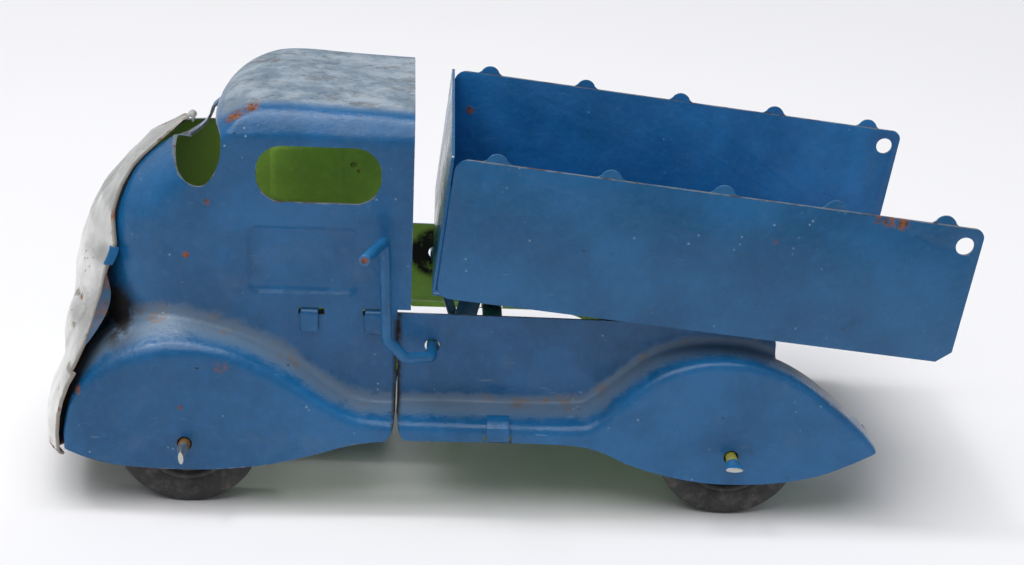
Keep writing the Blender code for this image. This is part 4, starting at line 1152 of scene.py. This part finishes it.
def build_bed():
    """Floor and sides folded from one sheet, with a separate front wall and the pivots below."""
    half = BED_HALF
    walls = []
    for sign in (-1, 1):
        low, high = sorted((sign * half, sign * (half - SHEET)))
        wall = prism_y("bed_wall", bed_wall_outline(), low, high, (BED_OUT,))
        hole = (BED_REAR - 0.0054, BED_TOP - 0.0062)
        boolean(wall, prism_y("hole", circle(hole, 0.0030, 40), -0.07, 0.07, (EDGE,)))
        walls.append(wall)
    floor_line = [(-half + 0.0002, BED_FLOOR + 0.0012)]
    floor_line += [(-half + 0.0012 - 0.0010 * math.cos(a), BED_FLOOR + 0.0012 - 0.0010 * math.sin(a))
                   for a in np.linspace(0.3, 0.5 * math.pi, 5)]
    under = floor_line + [(-y, z) for y, z in reversed(floor_line)]
    upper = [(y * (half - 0.0011) / half, z + SHEET) for y, z in reversed(under)]
    floor = prism_x("bed_floor_sheet", under + upper, BED_FRONT + 0.0003, BED_REAR - 0.0050, (BED_OUT,))
    front_line = stadium((-half + 0.0004, BED_FLOOR + 0.0002), (half - 0.0004, BED_TOP + 0.0006), 0.0022, 6)
    front = prism_x("bed_front_sheet", front_line, BED_FRONT, BED_FRONT + SHEET, (BED_OUT,))
    bed = walls[0]
    for other in (walls[1], floor, front):
        boolean(bed, other, "UNION")
    bed.name = "bed_tray"
    add_bevel(bed, 0.00022, 2, 50.0)
    inside = BED_IN
    bed.data.materials.append(inside)
    index = list(bed.data.materials).index(inside)
    for face in bed.data.polygons:
        c, n = face.center, face.normal
        within = abs(c.y) < half - 0.0005 and c.z > BED_FLOOR + 0.0006 and c.x > BED_FRONT + 0.0005
        if within and (abs(n.y) > 0.9 and n.y * c.y < 0 or n.z > 0.9 and c.z < 0.02 or n.x > 0.9
                       and c.x < BED_FRONT + 0.002):
            face.material_index = index
    points = coordinates(bed)
    rims = np.zeros(len(points))
    top = np.maximum(ramp(points[:, 2], BED_TOP - 0.0004, BED_TOP - 0.0001), 0)
    rims = np.maximum(rims, top * 0.75)
    rims = np.maximum(rims, 0.75 * (points[:, 0] < BED_FRONT + 0.0012))
    attribute(bed, "rim", rims)
    bed_to_truck(bed)
    place(bed, "bed", "dump_bed")

    for name, y, centre, radius, hole in (
        ("hinge_ear_left", -0.0370, (0.0, 0.0), 0.0029, 0.0015),
        ("hinge_ear_right", 0.0370, (0.0, 0.0), 0.0029, 0.0015),
        ("lift_ear_left", -0.0040, LIFT_PIN, 0.0030, 0.0),
        ("lift_ear_right", 0.0040, LIFT_PIN, 0.0030, 0.0),
    ):
        line = circle(centre, radius, 20, math.pi, math.pi)
        line += [(centre[0] + radius + 0.0008, BED_FLOOR + 0.0003),
                 (centre[0] - radius - 0.0008, BED_FLOOR + 0.0003)]
        ear = prism_y(name, line, y - 0.0005, y + 0.0005, (BED_OUT,))
        if hole:
            boolean(ear, prism_y("eye", circle(centre, hole, 24), -0.06, 0.06, (EDGE,)))
        add_bevel(ear, 0.00015)
        bed_to_truck(ear)
        place(ear, "bed")
    rings = []
    for y, radius in ((-0.0052, 0.0010), (-0.0051, 0.0015), (-0.0047, 0.0017), (-0.0045, 0.0017),
                      (-0.0045, 0.0010),
                      (0.0045, 0.0010), (0.0045, 0.0017), (0.0047, 0.0017), (0.0051, 0.0015),
                      (0.0052, 0.0010)):
        rings.append([(x, y, z) for x, z in circle(LIFT_PIN, radius, 24)])
    pin = loft("lift_pin", rings, (ROD_BRIGHT,))
    bed_to_truck(pin)
    place(pin, "bed", slot="rod_steel")


def bed_point(x, z):
    right, up = x - HINGE[0], z - HINGE[1]
    cos, sin = math.cos(BED_TILT), math.sin(BED_TILT)
    return (right * cos - up * sin, right * sin + up * cos)


LIFT_PIN = bed_point(0.0085, 0.0678)


# ---------------------------------------------------------------- wires, links and axles

CRANK_RADIUS = 0.0245
CRANK_ANGLE = math.radians(-72.0)
CRANK_ARM_Y = 0.0400
LEVER_ROD_Y = -0.0565
WIRE_RADIUS = 0.0018


def rounded_route(corners, radius, steps=8, gap=0.0025):
    """A bent wire's centre line: arcs at the corners and even points on the straights."""
    corners = [Vector(corner) for corner in corners]
    route = [corners[0]]
    for before, here, after in zip(corners, corners[1:], corners[2:]):
        back, ahead = (before - here).normalized(), (after - here).normalized()
        half_turn = 0.5 * back.angle(ahead)
        reach = radius / math.tan(half_turn)
        centre = here + (back + ahead).normalized() * (radius / math.sin(half_turn))
        start, end = here + back * reach - centre, here + ahead * reach - centre
        sweep = start.angle(end)
        for step in range(steps + 1):
            done = sweep * step / steps
            route.append(centre + (start * math.sin(sweep - done) + end * math.sin(done)) / math.sin(sweep))
    route.append(corners[-1])
    dense = [route[0]]
    for a, b in zip(route, route[1:]):
        pieces = max(1, int((b - a).length / gap))
        dense += [a.lerp(b, (i + 1) / pieces) for i in range(pieces)]
    return dense


def tube_mesh(name, route, radii, materials, sides=28, squash=None):
    """A round bar along a route with a radius per point; squash gives a width and height share per point."""
    rings = []
    up = Vector((0.0, 0.0, 1.0))
    tangent = (route[1] - route[0]).normalized()
    side = tangent.cross(up)
    side = (side if side.length > 0.1 else tangent.cross(Vector((1.0, 0.0, 0.0)))).normalized()
    for index, point in enumerate(route):
        ahead = route[min(index + 1, len(route) - 1)] - route[max(index - 1, 0)]
        if ahead.length > 1e-9:
            tangent = ahead.normalized()
        side = (side - tangent * side.dot(tangent)).normalized()
        top = side.cross(tangent)
        wide, tall = squash[index] if squash else (1.0, 1.0)
        rings.append([tuple(point + side * (radii[index] * wide * math.cos(math.tau * k / sides))
                            + top * (radii[index] * tall * math.sin(math.tau * k / sides)))
                      for k in range(sides)])
    return loft(name, rings, materials)


def round_end(route, radii, depth):
    """Adds a domed end before the first point of a route."""
    first = route[0]
    back = (first - route[1]).normalized()
    points, sizes = [], []
    for a in np.linspace(0.0, 0.5 * math.pi, 6)[::-1]:
        points.append(first + back * depth * math.sin(a))
        sizes.append(radii[0] * max(0.12, math.cos(a)))
    return points[:-1] + route, sizes[:-1] + radii


def crank_bar():
    return (CRANK_RADIUS * math.cos(CRANK_ANGLE), CRANK_RADIUS * math.sin(CRANK_ANGLE))


def build_lever():
    x, z = crank_bar()
    corners = (
        (-0.0212, -0.0765, 0.0417), (-0.0158, LEVER_ROD_Y, 0.0408), (-0.0146, LEVER_ROD_Y, 0.0070),
        (-0.0085, LEVER_ROD_Y, 0.0008), (0.0, LEVER_ROD_Y + 0.0035, 0.0), (0.0, -CRANK_ARM_Y, 0.0),
        (x, -CRANK_ARM_Y + 0.001, z), (x, CRANK_ARM_Y - 0.001, z), (0.0, CRANK_ARM_Y, 0.0),
        (0.0, FRAME_Y + 0.0030, 0.0),
    )
    route = [p + Vector((LEVER[0], 0.0, LEVER[1])) for p in rounded_route(corners, 0.0024)]
    radii = [WIRE_RADIUS * (1.0 + 0.012 * noise.noise(p * 400.0)) for p in route]
    route, radii = round_end(route, radii, 0.0005)
    lever = tube_mesh("lever_wire", route, radii, (WIRE,))
    points = coordinates(lever)
    grip = np.maximum(0.60 * (1.0 - ramp(points[:, 1], -0.0768, -0.0758)),
                      0.30 * (1.0 - ramp(points[:, 1], -0.070, -0.058)))
    attribute(lever, "rim", grip)
    place(lever, "lever", "lever_crank")


def build_link():
    bar = crank_bar()
    foot = (LEVER[0] + bar[0], LEVER[1] + bar[1])
    eye = (0.0085 - 0.0019 - foot[0], 0.0678 + 0.0009 - foot[1])
    length = math.hypot(*eye)
    outline = circle((0.0, 0.0), 0.00375, 28, math.pi, math.pi)
    outline += circle((0.0, length), 0.0048, 40, -0.21 * math.pi, 1.42 * math.pi)
    link = prism_y("link_strap", outline, -0.0006, 0.0006, (WIRE,))
    boolean(link, prism_y("foot_eye", circle((0.0, 0.0), WIRE_RADIUS + 0.0003, 32), -0.01, 0.01, (EDGE,)))
    boolean(link, prism_y("head_eye", circle((0.0, length), 0.0035, 40), -0.01, 0.01, (EDGE,)))
    add_bevel(link, 0.00018)
    link.data.transform(Matrix.Translation((foot[0], 0.0, foot[1])) @ Matrix.Rotation(math.atan2(*eye), 4,
                                                                                      "Y"))
    place(link, "link", "lift_link")


def build_axle(name, node, x, materials, tall):
    """A rod with pinched ends. Tall ends stand upright and droop, the others lie level and flare."""
    route, radii, squash = [], [], []
    end = 0.0669
    for i in range(121):
        y = -end + 2.0 * end * i / 120
        over = max(0.0, abs(y) - FENDER_Y - 0.0006) / (end - FENDER_Y - 0.0006)
        pinch = float(ramp(np.array(over), 0.30, 0.85))
        wide, high = 1.0 + 0.55 * pinch, 1.0 - 0.55 * pinch
        if tall:
            wide, high = 1.0 - 0.52 * pinch, 1.0 + 0.38 * pinch
        droop = -0.0011 * over**2 if tall else -0.0004 * over
        route.append(Vector((x, y, WHEEL_RADIUS + droop)))
        radii.append(AXLE_RADIUS * (1.0 + 0.03 * noise.noise(Vector((0.0, y * 300.0, x)))))
        squash.append((wide, high))
    rod = tube_mesh(name, route, radii, materials, 28, squash)
    add_bevel(rod, 0.00022, 2, 60.0)
    for face in rod.data.polygons:
        out = abs(face.center.y)
        if len(materials) > 1 and out > FENDER_Y + 0.0035:
            face.material_index = 1
        if len(materials) > 2 and out > FENDER_Y + 0.0082:
            face.material_index = 2
    place(rod, "truck", node, slot="rod_steel")


def build_hinge_rod():
    rings = []
    out = FRAME_Y + 0.0012
    for y, radius in ((-out, 0.0008), (-out + 0.0002, 0.0012), (-FRAME_Y + 0.001, 0.0012), (0.0, 0.0012),
                      (FRAME_Y - 0.001, 0.0012), (out - 0.0002, 0.0012), (out, 0.0008)):
        rings.append([(x, y, z) for x, z in circle(HINGE, radius, 28)])
    place(loft("hinge_pin", rings, (ROD_BROWN,)), "truck", "hinge_rod", slot="rod_steel")


# ---------------------------------------------------------------- wheels

def wheel_section():
    """Half of a wheel's section from hub to tread: hub boss, sunk disc, raised ring, groove and tyre."""
    half = 0.5 * WHEEL_WIDTH
    r = WHEEL_RADIUS
    bore = AXLE_RADIUS + 0.0003
    line = [(bore, half - 0.0010), (bore + 0.0003, half - 0.0006), (0.0056, half - 0.0006),
            (0.0062, half - 0.0008),
            (0.0068, half - 0.0019), (0.0074, half - 0.0021), (0.0128, half - 0.0021),
            (0.0134, half - 0.0019),
            (0.0141, half - 0.0009), (0.0147, half - 0.0006), (0.0153, half - 0.0006),
            (0.0157, half - 0.0008),
            (0.0160, half - 0.0011), (0.0164, half - 0.0008)]
    line += [(r - 0.0013 + 0.0013 * math.sin(a), half - 0.0013 + 0.0013 * math.cos(a))
             for a in np.linspace(0.0, 0.5 * math.pi, 9)]
    return line


def build_wheels():
    half_line = wheel_section()
    profile = half_line + [(r, -y) for r, y in reversed(half_line)]
    steps = 120
    for end, x in (("front", -0.5 * WHEELBASE), ("rear", 0.5 * WHEELBASE)):
        for side, sign in (("left", -1), ("right", 1)):
            name = f"wheel_{end}_{side}"
            rings = []
            for i in range(steps):
                angle = math.tau * i / steps
                worn = 1.0 - 0.0025 * abs(noise.noise(Vector((math.cos(angle) * 3, math.sin(angle) * 3,
                                                              x * 50 + sign))))
                rings.append([(x + r * worn * math.cos(angle), sign * WHEEL_Y + y,
                               WHEEL_RADIUS + r * worn * math.sin(angle))
                              for r, y in profile])
            count = len(profile)
            points = [p for ring in rings for p in ring]
            faces = []
            for i in range(steps):
                near, far = i * count, ((i + 1) % steps) * count
                for j in range(count):
                    k = (j + 1) % count
                    faces.append([near + j, near + k, far + k, far + j])
            wheel = add_mesh(f"tyre_{end}_{side}", points, faces, (RUBBER,))
            place(wheel, name + "_body", name, slot="wheel_rubber")


# ---------------------------------------------------------------- stage

def build_stage():
    size = 3.0
    floor = add_mesh("floor", [(-size, -size, 0), (size, -size, 0), (size, size, 0), (-size, size, 0)],
                     [[0, 1, 2, 3]])
    t = Tree("floor_paper")
    t.set(Base_Color=t.mix(t.noise(3.0), srgb(232, 231, 233), srgb(236, 235, 237)), Roughness=0.85)
    t.shader.inputs["Specular IOR Level"].default_value = 0.1
    floor.data.materials.append(t.material)

    world = bpy.data.worlds.new("studio")
    world.use_nodes = True
    world.node_tree.nodes["Background"].inputs[0].default_value = (0.93, 0.96, 1.0, 1.0)
    world.node_tree.nodes["Background"].inputs[1].default_value = 0.36
    bpy.context.scene.world = world

    for name, spot, angle, strength in (
        ("ceiling", (-0.22, -0.28, 1.0), 0.90, 1.62),
        ("window", (-0.60, 0.06, 1.0), 0.16, 0.30),
    ):
        lamp = bpy.data.lights.new(name, "SUN")
        lamp.angle = angle
        lamp.energy = strength
        holder = bpy.data.objects.new(name, lamp)
        holder.location = spot
        holder.rotation_euler = Vector(spot).to_track_quat("Z", "Y").to_euler()
        bpy.context.scene.collection.objects.link(holder)
    strip = bpy.data.lights.new("strip", "AREA")
    strip.shape = "RECTANGLE"
    strip.size, strip.size_y = 1.30, 0.13
    strip.energy = 5.2
    holder = bpy.data.objects.new("strip", strip)
    holder.location = (-0.28, 0.04, 1.20)
    bpy.context.scene.collection.objects.link(holder)
    bpy.context.scene.view_settings.view_transform = "Standard"


def build_camera():
    """Looks down on the near side, at the angle of the photograph."""
    pitch, yaw, roll = 0.37443, 0.04891, 0.04794
    ahead = Vector((math.sin(yaw) * math.cos(pitch), math.cos(yaw) * math.cos(pitch), -math.sin(pitch)))
    level = Vector((math.cos(yaw), -math.sin(yaw), 0.0))
    over = level.cross(ahead)
    right = level * math.cos(roll) + over * math.sin(roll)
    top = over * math.cos(roll) - level * math.sin(roll)
    camera = bpy.data.cameras.new("camera")
    camera.sensor_width = 36.0
    camera.lens = 59.464
    camera.clip_start = 0.01
    holder = bpy.data.objects.new("camera", camera)
    turn = Matrix((right, top, -ahead)).transposed().to_4x4()
    holder.matrix_world = Matrix.Translation(Vector((-0.00980, -0.55644, 0.27986)) + SHIFT) @ turn
    bpy.context.scene.collection.objects.link(holder)
    bpy.context.scene.camera = holder


build_stage()
build_camera()
build_cab()
build_plate()
build_plate_curl()
build_plate_tabs()
build_plate_flanges()
build_frame()
build_tabs()
build_strap()
build_bed()
build_lever()
build_link()
build_axle("front_axle_rod", "front_axle", -0.5 * WHEELBASE, (ROD_BROWN, ROD_BRIGHT), True)
build_axle("rear_axle_rod", "rear_axle", 0.5 * WHEELBASE, (ROD_GREEN, WIRE, ROD_BRIGHT), False)
build_hinge_rod()
build_wheels()
